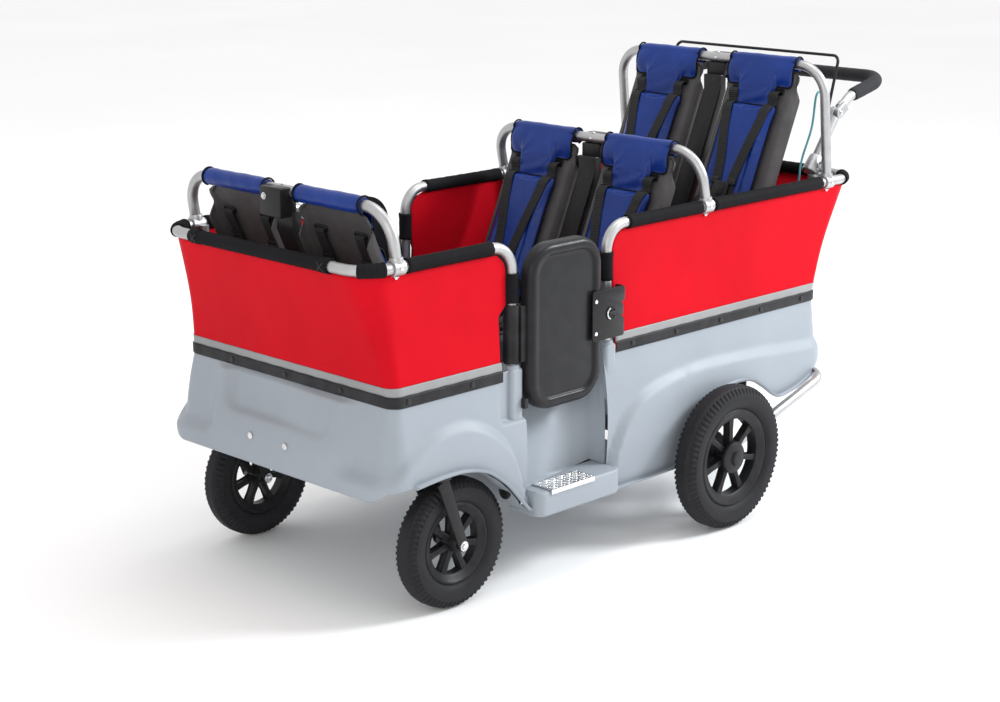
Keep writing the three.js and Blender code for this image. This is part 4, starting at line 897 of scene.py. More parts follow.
def make_tub():
    bm = bmesh.new()
    tub_wall(bm, 1, DOOR_FRONT)
    tub_wall(bm, -1, DOOR_REAR)
    tub_inside(bm)
    part = bmesh.new()
    # Each ledge below a door, with its rounded outer corners
    outline = rounded_outline((RECESS_X + 4, DOOR_FRONT - 2), (364.0, DOOR_REAR + 8),
                              (26.0, 6.0, 6.0, 22.0), 10)
    plate(part, outline, "Z", 146.0, LEDGE_TOP - 0.6, edge=9.0, segments=6)
    # The bosses that the rail posts stand in
    profile = [(11.2, 300.0), (18.0, 300.0), (18.2, 380.0), (17.2, 446.0), (15.4, 452.5), (13.4, 454.6),
               (11.2, 454.6)]
    for station in (FRONT_POST, REAR_POST):
        turned(part, profile, (RAIL_HALF, station, 0.0), "Z", steps=32)
        outline = rounded_outline((284.0, station - 17.0), (318.0, station + 17.0), 9.0, 6)
        plate(part, outline, "Z", 330.0, 447.0, edge=5.0, segments=4)
    add_pair(bm, part)
    finish_piece(bm, "moulded_tub", "tub", "chassis", "tub_shell", ["body_tub"], angle=50.0)

    # Small screws low on the front and inside each front arch, with a plug in the arch's rear wall
    bm = bmesh.new()
    for x in (-58.0, 48.0):
        bolt(bm, (x, 10.2, 310.0), 7.0, 3.4, "Y", -1)
    for sign in (1, -1):
        bolt(bm, (sign * 338.0, 364.0, 182.0), 4.0, 4.0, "Y", -1)
    finish_piece(bm, "tub_screws", "zinc", "chassis", "bright_steel")
    bm = bmesh.new()
    bolt(bm, (318.0, 341.0, 205.0), 15.0, 6.0, "Y", -1)
    both_sides(bm)
    finish_piece(bm, "arch_plugs", "black", "chassis", "black_plastic")


def make_steps():
    for side, sign in SIDES:
        bm = bmesh.new()
        top = LEDGE_TOP + 3.3
        box(bm, (312.4, TREAD_FRONT, LEDGE_TOP + 0.3), (366.6, TREAD_REAR, top), edge=0.8)
        box(bm, (363.9, TREAD_FRONT, top - 11.0), (367.3, TREAD_REAR, top), edge=0.8)
        # The raised bars of the chequer pattern, in pairs that turn about
        for row in range(5):
            for column in range(11):
                centre = Vector((319.2 + row * 10.2, TREAD_FRONT + 8.0 + column * 11.0, top))
                turn = Matrix.Rotation(math.radians(45 if (row + column) % 2 else -45), 4, "Z")
                for shift in (-1.8, 1.8):
                    box(bm, (shift - 0.8, -4.2, -0.4), (shift + 0.8, 4.2, 0.9), edge=0.6, segments=1,
                        matrix=Matrix.Translation(centre) @ turn)
        finish_piece(bm, f"step_tread_{side}", "tread", "chassis", "tread_aluminium",
                     [f"step_plate_{side}"], sign=sign)


# Rails, hoops and frame tubes

def rail_path(post, end):
    near = [(RAIL_HALF, post, 381.0), (RAIL_HALF, post, RAIL_HEIGHT), (RAIL_HALF, end, RAIL_HEIGHT)]
    return bent(near + [across(point) for point in reversed(near)],
                [POST_BEND, RAIL_CORNER, RAIL_CORNER, POST_BEND], 14)


def make_rails(radius):
    for name, post, end in (("front", FRONT_POST, 0.0), ("rear", REAR_POST, RAIL_LENGTH)):
        bm = bmesh.new()
        tube(bm, rail_path(post, end), radius, 28)
        finish_piece(bm, f"{name}_rail_tube", "tube", "chassis", "tube_aluminium", [f"{name}_rail"])


EYE_RADIUS = 13.0


def tongue_outline(direction):
    """A round eye with an arm that leaves it along a direction, in (station, height)."""
    angle = math.atan2(direction[1], direction[0])
    points = []
    for step in range(21):
        turn = angle + math.pi / 2 + math.pi * step / 20
        points.append((EYE_RADIUS * math.cos(turn), EYE_RADIUS * math.sin(turn)))
    side = Vector((-math.sin(angle), math.cos(angle))) * 11.0
    reach = Vector((math.cos(angle), math.sin(angle))) * 27.0
    points.append(tuple(reach - side))
    points.append(tuple(reach + side))
    return points


def make_hoops(radius):
    for name, about in HOOPS.items():
        bm = bmesh.new()
        station, lean, height = about["station"], about["lean"], about["height"]
        leg = [(RAIL_HALF, station, RAIL_HEIGHT + 8.0), (RAIL_HALF, station + lean, height)]
        tube(bm, bent(leg + [across(point) for point in reversed(leg)], [HOOP_BEND, HOOP_BEND], 14),
             radius, 28)
        # Clamps round the rail, each with a round boss on top that the leg stands in
        part = bmesh.new()
        turned(part, [(11.2, -14.0), (14.4, -14.0), (15.5, -12.8), (15.5, 12.8), (14.4, 14.0),
                      (11.2, 14.0)],
               (RAIL_HALF, station, RAIL_HEIGHT), "Y", steps=40)
        turned(part, [(0.0, 8.0), (13.6, 8.0), (13.2, 17.0), (12.4, 20.0), (11.1, 20.4)],
               (RAIL_HALF, station, RAIL_HEIGHT), "Z", steps=40)
        # The struts that run on down to the floor inside the cloth
        shift = about["shift"]
        top = (STRUT_X, station + (math.copysign(4.0, shift) if shift else 0.0), RAIL_HEIGHT)
        foot = (STRUT_X, station + shift, about["floor"] + 0.3)
        tube(part, [top, (foot[0], foot[1], foot[2] + 32.0), foot], 9.0, 20)
        add_pair(bm, part)
        if name == "rear":
            add_sockets(bm, radius)
        finish_piece(bm, f"{name}_seat_hoop", "tube", "chassis", "tube_aluminium", [f"{name}_hoop"])

        bm = bmesh.new()
        # The pinch bolt under the clamp, with its nut, and the screw that keeps the leg in it
        hex_bolt(bm, (RAIL_HALF + 2.0, station - 3.0, RAIL_HEIGHT - 15.0), 4.6, 5.0, "Z", -1)
        turned(bm, [(0.0, 18.0), (2.6, 18.0), (2.6, 26.0), (0.0, 26.6)],
               (RAIL_HALF + 2.0, station - 3.0, RAIL_HEIGHT - 38.6), "Z", steps=16)
        bolt(bm, (RAIL_HALF + 15.0, station, RAIL_HEIGHT), 3.8, 2.4, "X", 1)
        both_sides(bm)
        bar = station + lean
        bolt(bm, (0.0, bar, height + radius - 0.2), 4.6, 2.4, "Z", 1)
        if name == "rear":
            add_socket_screws(bm)
        finish_piece(bm, f"{name}_hoop_bolts", "zinc", "chassis", "bright_steel")


def add_sockets(bm, radius):
    """The cups and the fixed lower tubes of the push handle, with the inner half of each knuckle."""
    part = bmesh.new()
    way = (KNUCKLE - SOCKET_FOOT).normalized()
    reach = (KNUCKLE - SOCKET_FOOT).length
    places = (0.0, 1.5, 3.5, 40.0, 43.0, 44.0, reach - 13.6)
    radii = [14.0, 18.6, 20.0, 16.4, 14.6, radius + 0.2, radius]
    tube(part, [SOCKET_FOOT + way * place for place in places], radii, 28)
    block = rounded_outline((265.0, 1362.0), (289.0, 1404.0), 5.0, 4)
    plate(part, block, "Z", 695.0, 707.0, edge=2.0)
    eye = tongue_outline((-way.y, -way.z))
    plate(part, eye, "X", 252.7, 264.85, edge=1.6, matrix=Matrix.Translation((0, KNUCKLE.y, KNUCKLE.z)))
    add_pair(bm, part)


def add_socket_screws(bm):
    """The screws that hold the push handle's lower tubes in their cups."""
    part = bmesh.new()
    way = (KNUCKLE - SOCKET_FOOT).normalized()
    for place in (12.0, 30.0):
        centre = SOCKET_FOOT + way * place
        bolt(part, (centre.x + 18.6, centre.y, centre.z), 4.0, 2.6, "X", 1)
    add_pair(bm, part)


# Cloth sides: sheets from the binding strip up to the rails, with sleeves round the tubes

def cloth_end(z, facing):
    """Where the cloth ends beside its post, at one height."""
    post, edge = (FRONT_POST, 37.0) if facing > 0 else (REAR_POST, 20.0)
    top = RAIL_HEIGHT - POST_BEND
    lap = 14.0
    if z > top:
        rise = min((z - top) / (POST_BEND - lap), 1.0)
        reach = POST_BEND - (POST_BEND - lap) * math.sqrt(max(1.0 - rise * rise, 0.0))
    else:
        reach = lap
    reach = mix(edge, reach, smooth_step(LOOP_FOOT[facing] - 26.0, LOOP_FOOT[facing], z))
    return post - facing * reach


def cloth_place(u, z, facing, pull=0.0):
    """A point on the cloth's middle: it follows the rim at the foot and the rail at the top."""
    rise = min(max((z - STRIP_TOP) / (CLOTH_TOP - STRIP_TOP), 0.0), 1.0)
    bow = 5.0 * math.sin(math.pi * rise)
    half = mix(RIM_HALF + 1.3, RAIL_HALF, rise) - bow - pull
    corner = mix(RIM_CORNER + 1.3, RAIL_CORNER, rise) - bow - pull
    if facing > 0:
        nose = mix(RIM_FRONT - 1.3, 0.0, rise) + bow + pull
    else:
        nose = mix(RIM_REAR + 1.3, RAIL_LENGTH, rise) - bow - pull
    return wrap_point(u, half, nose, corner, cloth_end(z, facing), facing)


def cloth_waves(u, z, facing):
    """How far the stretched cloth ripples in: puckers at the rivets and pull lines at the corners."""
    x, station = cloth_place(u, z, facing)
    rise = (z - STRIP_TOP) / (CLOTH_TOP - STRIP_TOP)
    along = station + (308.0 - abs(x)) * 0.9
    swell = math.sin(math.pi * min(max(rise, 0.0), 1.0))
    turns = 2 * math.pi * along
    foot = math.exp(-max(z - STRIP_TOP, 0.0) / 26.0) * (0.5 + 0.5 * math.cos(turns / 46.0))
    crown = math.exp(-max(CLOTH_TOP - z, 0.0) / 30.0) * (0.5 + 0.5 * math.cos(turns / 61.0 + 0.8))
    slow = math.sin(along / 71.0 + 2.1 * rise) * swell
    slant = math.sin((along * facing + z * 0.8) / 33.0) * swell ** 2
    return 0.9 * foot + 0.8 * crown + 1.1 * slow + 0.5 * slant


SHEET_COLUMNS, SHEET_ROWS = 260, 52


def add_sheet(bm, facing, foot, top, rows, proud):
    """One skin of the cloth between two heights, a little proud of its middle."""
    def place(u, v):
        z = mix(foot, top, v)
        x, station = cloth_place(u, z, facing, cloth_waves(u, z, facing) - proud)
        return Vector((x, station, z))

    surface(bm, SHEET_COLUMNS, rows, place, uv=lambda u, v: (u * 1.5, mix(foot, top, v) / 1000))


def outward(bm, facing):
    """Turns a skin's faces away from the stroller's middle."""
    middle = Vector((0.0, 350.0 if facing > 0 else 900.0, 560.0))
    bmesh.ops.recalc_face_normals(bm, faces=bm.faces)
    votes = sum(math.copysign(face.calc_area(), (face.calc_center_median() - middle).dot(face.normal))
                for face in bm.faces)
    if votes < 0:
        bmesh.ops.reverse_faces(bm, faces=bm.faces)


def make_sheets():
    for name, facing in ENDS:
        bm = bmesh.new()
        add_sheet(bm, facing, STRIP_FOOT + 2.0, CLOTH_TOP, SHEET_ROWS, 0.0)
        outward(bm, facing)
        obj = finish_piece(bm, f"{name}_cloth_side", "red", "chassis", "red_cloth", [f"{name}_panel"])
        thicken(obj, "cloth thickness", 0.0012, 0.0)
        # The reflective strip that is sewn on just above the binding
        bm = bmesh.new()
        add_sheet(bm, facing, STRIP_TOP - 0.6, STRIP_TOP + 17.0, 5, 1.3)
        outward(bm, facing)
        obj = finish_piece(bm, f"{name}_reflective_strip", "reflective", "chassis", "red_cloth")
        thicken(obj, "strip thickness", 0.0006, 1.0)


def make_hems():
    """The hems that are turned in beside the posts."""
    for name, facing in ENDS:
        bm = bmesh.new()
        for sign in (1, -1):
            heights = [464.0 + 4.0 * step for step in range(53)]
            points = []
            for z in heights:
                x, station = cloth_place(0.0 if sign > 0 else 1.0, z, facing)
                points.append(Vector((x, station, z)))
            tube(bm, even(points, 60), 1.9, 10)
        finish_piece(bm, f"{name}_cloth_hem", "sleeve", "chassis", "red_cloth")


SLEEVE_RADIUS, PATCH_RADIUS, SEAM_RADIUS = 13.7, 14.7, 14.9
LONG_SLEEVE_HALF = 208.0


def sleeve_radii(points, creases):
    """A sleeve's radius along its length: gathered at both ends, with slight creases between."""
    count = len(points)
    result = []
    for k in range(count):
        share = k / (count - 1)
        flare = 0.9 * math.exp(-min(share, 1 - share) * count / 3.0)
        result.append(SLEEVE_RADIUS + flare + creases * math.sin(k * 1.7) * math.sin(k * 0.43 + 1.0))
    return result


def make_sleeves():
    """Black sleeves of folded cloth round the rails and posts, with patches on the long ones."""
    for name, facing, end, post in (("front", 1, 0.0, FRONT_POST),
                                    ("rear", -1, RAIL_LENGTH, REAR_POST)):
        bm = bmesh.new()
        corner = bent([(RAIL_HALF, end + facing * 124.0, RAIL_HEIGHT), (RAIL_HALF, end, RAIL_HEIGHT),
                       (0.0, end, RAIL_HEIGHT)], [RAIL_CORNER], 14)[1:-1]
        if facing > 0:
            side_runs = [(HOOPS["front"]["station"] + 21.0, post - POST_BEND - 7.0)]
        else:
            middle = HOOPS["middle"]["station"]
            side_runs = [(post + POST_BEND + 7.0, middle - 21.0),
                         (middle + 21.0, HOOPS["rear"]["station"] - 28.0)]
        part = bmesh.new()
        lines = [(even(corner[2:-5], 24), 0.6)]
        for low, high in side_runs:
            ends = [Vector((RAIL_HALF, low, RAIL_HEIGHT)), Vector((RAIL_HALF, high, RAIL_HEIGHT))]
            lines.append((even(ends, max(int((high - low) / 7.0), 8)), 0.45))
        loop = [Vector((RAIL_HALF, post, LOOP_FOOT[facing] + rise)) for rise in (0.0, 58.0)]
        lines.append((even(loop, 12), 0.4))
        for points, creases in lines:
            tube(part, points, sleeve_radii(points, creases), 28, capped=False)
        add_pair(bm, part)
        points = even([Vector((sign * LONG_SLEEVE_HALF, end, RAIL_HEIGHT)) for sign in (-1, 1)], 90)
        tube(bm, points, sleeve_radii(points, 0.3), 28, capped=False)
        for sign in (1, -1):
            # A patch sewn over each end of the long sleeve
            patch = [(sign * 180.0, end, RAIL_HEIGHT), (sign * 203.0, end, RAIL_HEIGHT)]
            tube(bm, patch, PATCH_RADIUS, 28, capped=False)
        obj = finish_piece(bm, f"{name}_rail_sleeves", "sleeve", "chassis", "red_cloth")
        thicken(obj, "sleeve thickness", 0.0015, -1.0)


def strip_line(facing, proud):
    """Evenly spread points round the tub's rim, outside the cloth, from one post to the other."""
    end = FRONT_POST - 37.0 if facing > 0 else REAR_POST + 20.0
    points = []
    for step in range(401):
        u = step / 400
        nose = RIM_FRONT - proud if facing > 0 else RIM_REAR + proud
        x, station = wrap_point(u, RIM_HALF + proud, nose, RIM_CORNER + proud, end, facing)
        points.append(Vector((x, station, 0.0)))
    return even(points, 241)


def make_bindings():
    """The rounded binding strips that clamp the cloth to the tub's rim, and their rivets."""
    for name, facing in ENDS:
        line = strip_line(facing, 2.7)
        profile = [(0.0, 0.2), (1.6, 0.0), (2.8, 1.2), (3.1, 4.0), (3.1, 18.0), (2.8, 20.8),
                   (1.6, 22.0), (0.0, 21.8)]
        normals = []
        for k in range(len(line)):
            before, after = line[max(k - 1, 0)], line[min(k + 1, len(line) - 1)]
            way = (after - before).normalized()
            normal = Vector((way.y, -way.x, 0.0))
            if normal.dot(line[k] - Vector((0.0, 350.0 if facing > 0 else 900.0, 0.0))) < 0:
                normal = -normal
            normals.append(normal)
        last, faces = len(line) - 1, len(profile) - 1
        bm = bmesh.new()

        def place(u, v):
            k, n = round(u * last), round(v * faces)
            out, z = profile[n]
            return line[k] + normals[k] * out + Vector((0.0, 0.0, STRIP_FOOT + z))

        surface(bm, last, faces, place, uv=lambda u, v: (u * 1.6, v * 0.03))
        outward(bm, facing)
        finish_piece(bm, f"{name}_binding_strip", "strip", "chassis", "black_trim", [f"{name}_binding"],
                     angle=60.0)
        bm = bmesh.new()
        total = sum((b - a).length for a, b in zip(line, line[1:]))
        count = round(total / 138.0) - (facing > 0)
        for k in range(count):
            place_share = (k + 0.5) / count if facing > 0 else (k + 0.32) / (count - 0.36)
            index = min(round(place_share * last), last)
            centre, normal = line[index] + Vector((0, 0, STRIP_FOOT + 11.0)), normals[index]
            turn = Vector((1, 0, 0)).rotation_difference(normal).to_matrix().to_4x4()
            part = bmesh.new()
            bolt(part, (0.0, 0.0, 0.0), 5.6, 2.4, "X", 1)
            bmesh.ops.transform(part, matrix=Matrix.Translation(centre + normal * 2.9) @ turn,
                                verts=part.verts)
            add_part(bm, part)
        finish_piece(bm, f"{name}_rivets", "rivet", "chassis", "black_trim")


def make_stitches():
    """The crossed seams on the patches at the ends of the long sleeves."""
    for name, end in (("front", 0.0), ("rear", RAIL_LENGTH)):
        bm = bmesh.new()
        for sign in (1, -1):
            for low, high in ((-38.0, 30.0), (30.0, -38.0)):
                points = []
                for step in range(9):
                    angle = math.radians(mix(low, high, step / 8))
                    way = -math.cos(angle) if name == "front" else math.cos(angle)
                    points.append(Vector((sign * mix(183.0, 200.0, step / 8), end + SEAM_RADIUS * way,
                                          RAIL_HEIGHT + SEAM_RADIUS * math.sin(angle))))
                tube(bm, points, 0.5, 6)
        finish_piece(bm, f"{name}_patch_seams", "shell", "chassis", "red_cloth")


# Doors with their hinges and latches, each made for the left side and turned over for the right

# The door leaf: its front and foot, its rear and top, and its corners
LEAF_LOW, LEAF_HIGH, LEAF_CORNER = (395.0, 352.0), (603.0, 686.0), 62.0


def door_outline(inset):
    """The leaf's side view, drawn in by an inset."""
    low, high = [place + inset for place in LEAF_LOW], [place - inset for place in LEAF_HIGH]
    return rounded_outline(low, high, max(LEAF_CORNER - inset, 4.0), 12)


# The latch knob turns about this place on the door; its bright hook lies round it
LATCH_PIVOT = (0.0, 622.0, 520.0)
HOOK_RADIUS = 11.4


def latch_outline():
    """The latch plate's side view: its rear edge steps back above and below the hole."""
    return [(573.0, 468.0), (659.0, 468.0), (663.0, 472.0), (663.0, 505.0), (657.0, 507.0),
            (657.0, 511.0), (661.0, 513.0), (661.0, 533.0), (657.0, 535.0), (657.0, 539.0),
            (665.0, 541.0), (665.0, 567.0), (661.0, 571.0), (573.0, 571.0), (569.0, 567.0),
            (569.0, 472.0)]


def make_doors():
    for side, sign in SIDES:
        body = f"side_door_{side}"
        bm = bmesh.new()
        # The leaf is one ring after another: back, rounded rim, a step down, then the flat inner panel
        rings = [(0.0, 306.0), (0.0, 319.0), (1.2, 324.6), (4.2, 329.4), (8.6, 332.2), (13.0, 333.0),
                 (18.6, 332.8), (21.6, 331.8), (23.4, 329.6), (24.4, 328.2), (26.0, 327.6),
                 (32.0, 327.8), (58.0, 328.4), (94.0, 328.8)]
        loops = []
        for inset, x in rings:
            loops.append([bm.verts.new((x, a, b)) for a, b in door_outline(inset)])
        for inner, outer in zip(loops, loops[1:]):
            for k in range(len(inner)):
                n = (k + 1) % len(inner)
                bm.faces.new((inner[k], inner[n], outer[n], outer[k]))
        bm.faces.new(loops[-1])
        bm.faces.new(list(reversed(loops[0])))
        bmesh.ops.recalc_face_normals(bm, faces=bm.faces)
        finish_piece(bm, f"door_leaf_{side}", "door", body, "black_plastic", [f"door_{side}"],
                     angle=50.0, sign=sign)

        bm = bmesh.new()
        turned(bm, [(11.4, 457.0), (15.6, 457.0), (17.0, 458.4), (17.0, 571.6), (15.6, 573.0),
                    (11.4, 573.0)],
               (RAIL_HALF, FRONT_POST, 0.0), "Z", steps=36)
        box(bm, (300.8, 388.0, 469.0), (305.7, 440.0, 561.0), edge=1.6)
        # The leaf of the hinge, a plain skirt from the barrel on to the door's front edge
        leaf = [(381.0, 459.0), (399.0, 459.0), (401.0, 461.0), (401.0, 569.0), (399.0, 571.0),
                (381.0, 571.0)]
        plate(bm, leaf, "X", 313.6, 321.0, edge=1.4)
        finish_piece(bm, f"hinge_barrel_{side}", "black", body, "black_plastic", [f"door_hinge_{side}"],
                     sign=sign)

        bm = bmesh.new()
        plate(bm, latch_outline(), "X", 333.4, 336.4, edge=0.6, segments=2)
        for foot in (468.0, 545.0):
            plate(bm, rounded_outline((312.5, foot), (336.3, foot + 26.0), 4.0, 4), "Y", 660.0, 662.8,
                  edge=0.6)
        finish_piece(bm, f"latch_cover_{side}", "enamel", body, "black_steel", [f"latch_plate_{side}"],
                     sign=sign)

        bm = bmesh.new()
        for place in ((578.0, 550.0), (578.0, 484.0)):
            bolt(bm, (336.2, *place), 4.2, 2.6, "X", 1)
        finish_piece(bm, f"latch_screws_{side}", "zinc", body, "bright_steel", sign=sign)

        # The sunk turn-knob, with the bright hook that shows beside it
        bm = bmesh.new()
        turned(bm, [(0.0, 336.7), (13.0, 336.7), (14.0, 337.4), (13.6, 338.4), (12.0, 338.8),
                    (11.4, 337.6), (0.0, 337.4)], LATCH_PIVOT, "X", steps=40)
        box(bm, (337.0, 612.0, 515.6), (342.4, 632.0, 524.4), edge=2.2, segments=3)
        rod(bm, 3.6, 313.2, 338.0, LATCH_PIVOT)
        box(bm, (313.2, 618.2, 515.6), (317.6, 637.0, 524.4), edge=1.2)
        finish_piece(bm, f"latch_turn_{side}", "black", f"door_latch_{side}", "black_plastic",
                     [f"latch_knob_{side}"], sign=sign)
        bm = bmesh.new()
        hook = []
        for angle in range(110, 251, 10):
            turn = math.radians(angle)
            hook.append(Vector((339.0, LATCH_PIVOT[1] + HOOK_RADIUS * math.cos(turn),
                                LATCH_PIVOT[2] + HOOK_RADIUS * math.sin(turn))))
        tube(bm, hook, 1.7, 10)
        finish_piece(bm, f"latch_hook_{side}", "zinc", f"door_latch_{side}", "bright_steel", sign=sign)

        # A small stop on the tub, just below the door's front corner
        bm = bmesh.new()
        box(bm, (318.0, 383.0, 366.0), (329.0, 393.6, 386.0), edge=1.6)
        finish_piece(bm, f"door_stop_{side}", "black", "chassis", "black_plastic", sign=sign)


# Seats, made once in their own frame: across, up the back from the hip, and out of the back

def on_back(along, out, x=0.0):
    return Vector((x, -math.sin(RECLINE) * along + math.cos(RECLINE) * out,
                   math.cos(RECLINE) * along + math.sin(RECLINE) * out))


def on_pan(along, out):
    return Vector((0.0, math.cos(PAN_RISE) * along - math.sin(PAN_RISE) * out,
                   math.sin(PAN_RISE) * along + math.cos(PAN_RISE) * out))


def seat_matrix(row, sign=0):
    _, station, height, facing = row
    turn = Matrix.Rotation(0.0 if facing > 0 else math.pi, 4, "Z")
    return (Matrix.Translation((0.0, station, height)) @ turn
            @ Matrix.Translation((sign * facing * SEAT_PITCH, 0.0, 0.0)))


def copied(source, matrix):
    bm = bmesh.new()
    bm.from_mesh(source)
    bmesh.ops.transform(bm, matrix=matrix, verts=bm.verts)
    return bm


def stored(bm, name):
    """Keeps a finished form as a mesh that several pieces are copied from."""
    mesh = bpy.data.meshes.new(name)
    bm.to_mesh(mesh)
    bm.free()
    return mesh


SHELL_HALF = 99.0


def shell_form():
    """The moulded seat shell: a back and a pan in one sheet, with flanges behind the back's edges."""
    line = [on_back(396.0, 0.0)]
    line += [on_back(396.0 - 8.0 * step, 0.0) for step in range(1, 46)]
    bend = bent([on_back(36.0, 0.0), Vector((0, 0, 0)), on_pan(36.0, 0.0)], [30.0], 10)
    line += bend[1:-1]
    line += [on_pan(36.0 + 10.0 * step, 0.0) for step in range(0, 16)]
    last = len(line) - 1
    half_section = [(1.0, 1.0), (1.0, 0.7), (1.0, 0.42), (0.985, 0.28), (0.95, 0.0), (0.915, -0.86),
                    (0.89, -0.97)]
    section = [(-x, depth) for x, depth in half_section] + [(0.1 * step, -1.0) for step in range(-8, 9)]
    section += reversed(half_section)
    bm = bmesh.new()

    def place(u, v):
        k = round(v * last)
        point, before, after = line[k], line[max(k - 1, 0)], line[min(k + 1, last)]
        way = (after - before).normalized()
        out = Vector((0.0, way.z, -way.y))
        if out.y < -0.2 and out.z < 0.2:
            out = -out
        out = out if out.dot(Vector((0.0, 1.0, 1.0))) > 0 else -out
        x, depth = section[round(u * (len(section) - 1))]
        rise = point.z / math.cos(RECLINE) if point.y < 0.0 else 0.0
        flange = smooth_step(22.0, 46.0, rise) * smooth_step(364.0, 336.0, rise)
        if depth > 0.0:
            sink = 6.0 + 26.0 * flange * depth
        else:
            sink = 6.0 * (1.0 + depth)
        corner = 16.0 * (1.0 - math.sqrt(max(1.0 - (max(rise - 380.0, 0.0) / 16.0) ** 2, 0.0)))
        return point - out * sink + Vector((x * (SHELL_HALF - corner), 0.0, 0.0))

    surface(bm, len(section) - 1, last, place, uv=lambda u, v: (u * 0.19, v * 0.58))
    bmesh.ops.recalc_face_normals(bm, faces=bm.faces)
    front = [face for face in bm.faces if abs(face.calc_center_median().x) < 60.0
             and 100.0 < face.calc_center_median().z < 300.0]
    if sum(face.normal.y for face in front) < 0:
        bmesh.ops.reverse_faces(bm, faces=bm.faces)
    bmesh.ops.solidify(bm, geom=list(bm.faces), thickness=3.6)
    bmesh.ops.recalc_face_normals(bm, faces=bm.faces)
    return stored(bm, "shell form")


def slot_form():
    """The raised frames round the strap slots, on both faces of the shell."""
    bm = bmesh.new()
    for x in (-SLOT_X, SLOT_X):
        for out in (0.6, -6.6):
            outline = rounded_outline((x - 16.0, SLOT_UP - 6.2), (x + 16.0, SLOT_UP + 6.2), 4.8, 5)
            ring = [on_back(b, out, a) for a, b in outline]
            tube(bm, ring, 1.7, 8, capped=False, closed=True)
    return stored(bm, "slot form")


def painted_slot_shade_form():
    """Near-black sheets across each slot, in front of the shell and behind it: painted shade in the
    openings.
    """
    bm = bmesh.new()
    for x in (-SLOT_X, SLOT_X):
        for out in (0.5, -6.6):
            outline = rounded_outline((x - 15.4, SLOT_UP - 5.6), (x + 15.4, SLOT_UP + 5.6), 4.0, 5)
            bm.faces.new([bm.verts.new(on_back(b, out, a)) for a, b in outline])
    return stored(bm, "slot hollow form")


# The pads: their widths and lengths, where they begin, how far they puff out, their sewn channels
BACK_PAD, PAN_PAD = (158.0, 303.0), (168.0, 168.0)
PAD_LOW, PAD_THICKNESS, PUFF_LIMIT = 15.0, 15.0, 9.0
CHANNEL_X, CHANNEL_DEPTH = 43.5, 5.0


def pillow_start(width, length, matrix):
    """The plain closed form that a pad is blown up from."""
    bm = bmesh.new()
    half = width / 2
    outline = rounded_outline((-half, PAD_LOW), (half, PAD_LOW + length), 16.0, 6)
    plate(bm, outline, "Z", 2.5, PAD_THICKNESS, edge=5.0)
    bmesh.ops.transform(bm, matrix=matrix, verts=bm.verts)
    bmesh.ops.recalc_face_normals(bm, faces=bm.faces)
    return bm


BACK_MATRIX = Matrix(((1, 0, 0, 0), (0, -math.sin(RECLINE), math.cos(RECLINE), 0),
                      (0, math.cos(RECLINE), math.sin(RECLINE), 0), (0, 0, 0, 1)))
PAN_MATRIX = Matrix(((1, 0, 0, 0), (0, math.cos(PAN_RISE), -math.sin(PAN_RISE), 0),
                     (0, math.sin(PAN_RISE), math.cos(PAN_RISE), 0), (0, 0, 0, 1)))


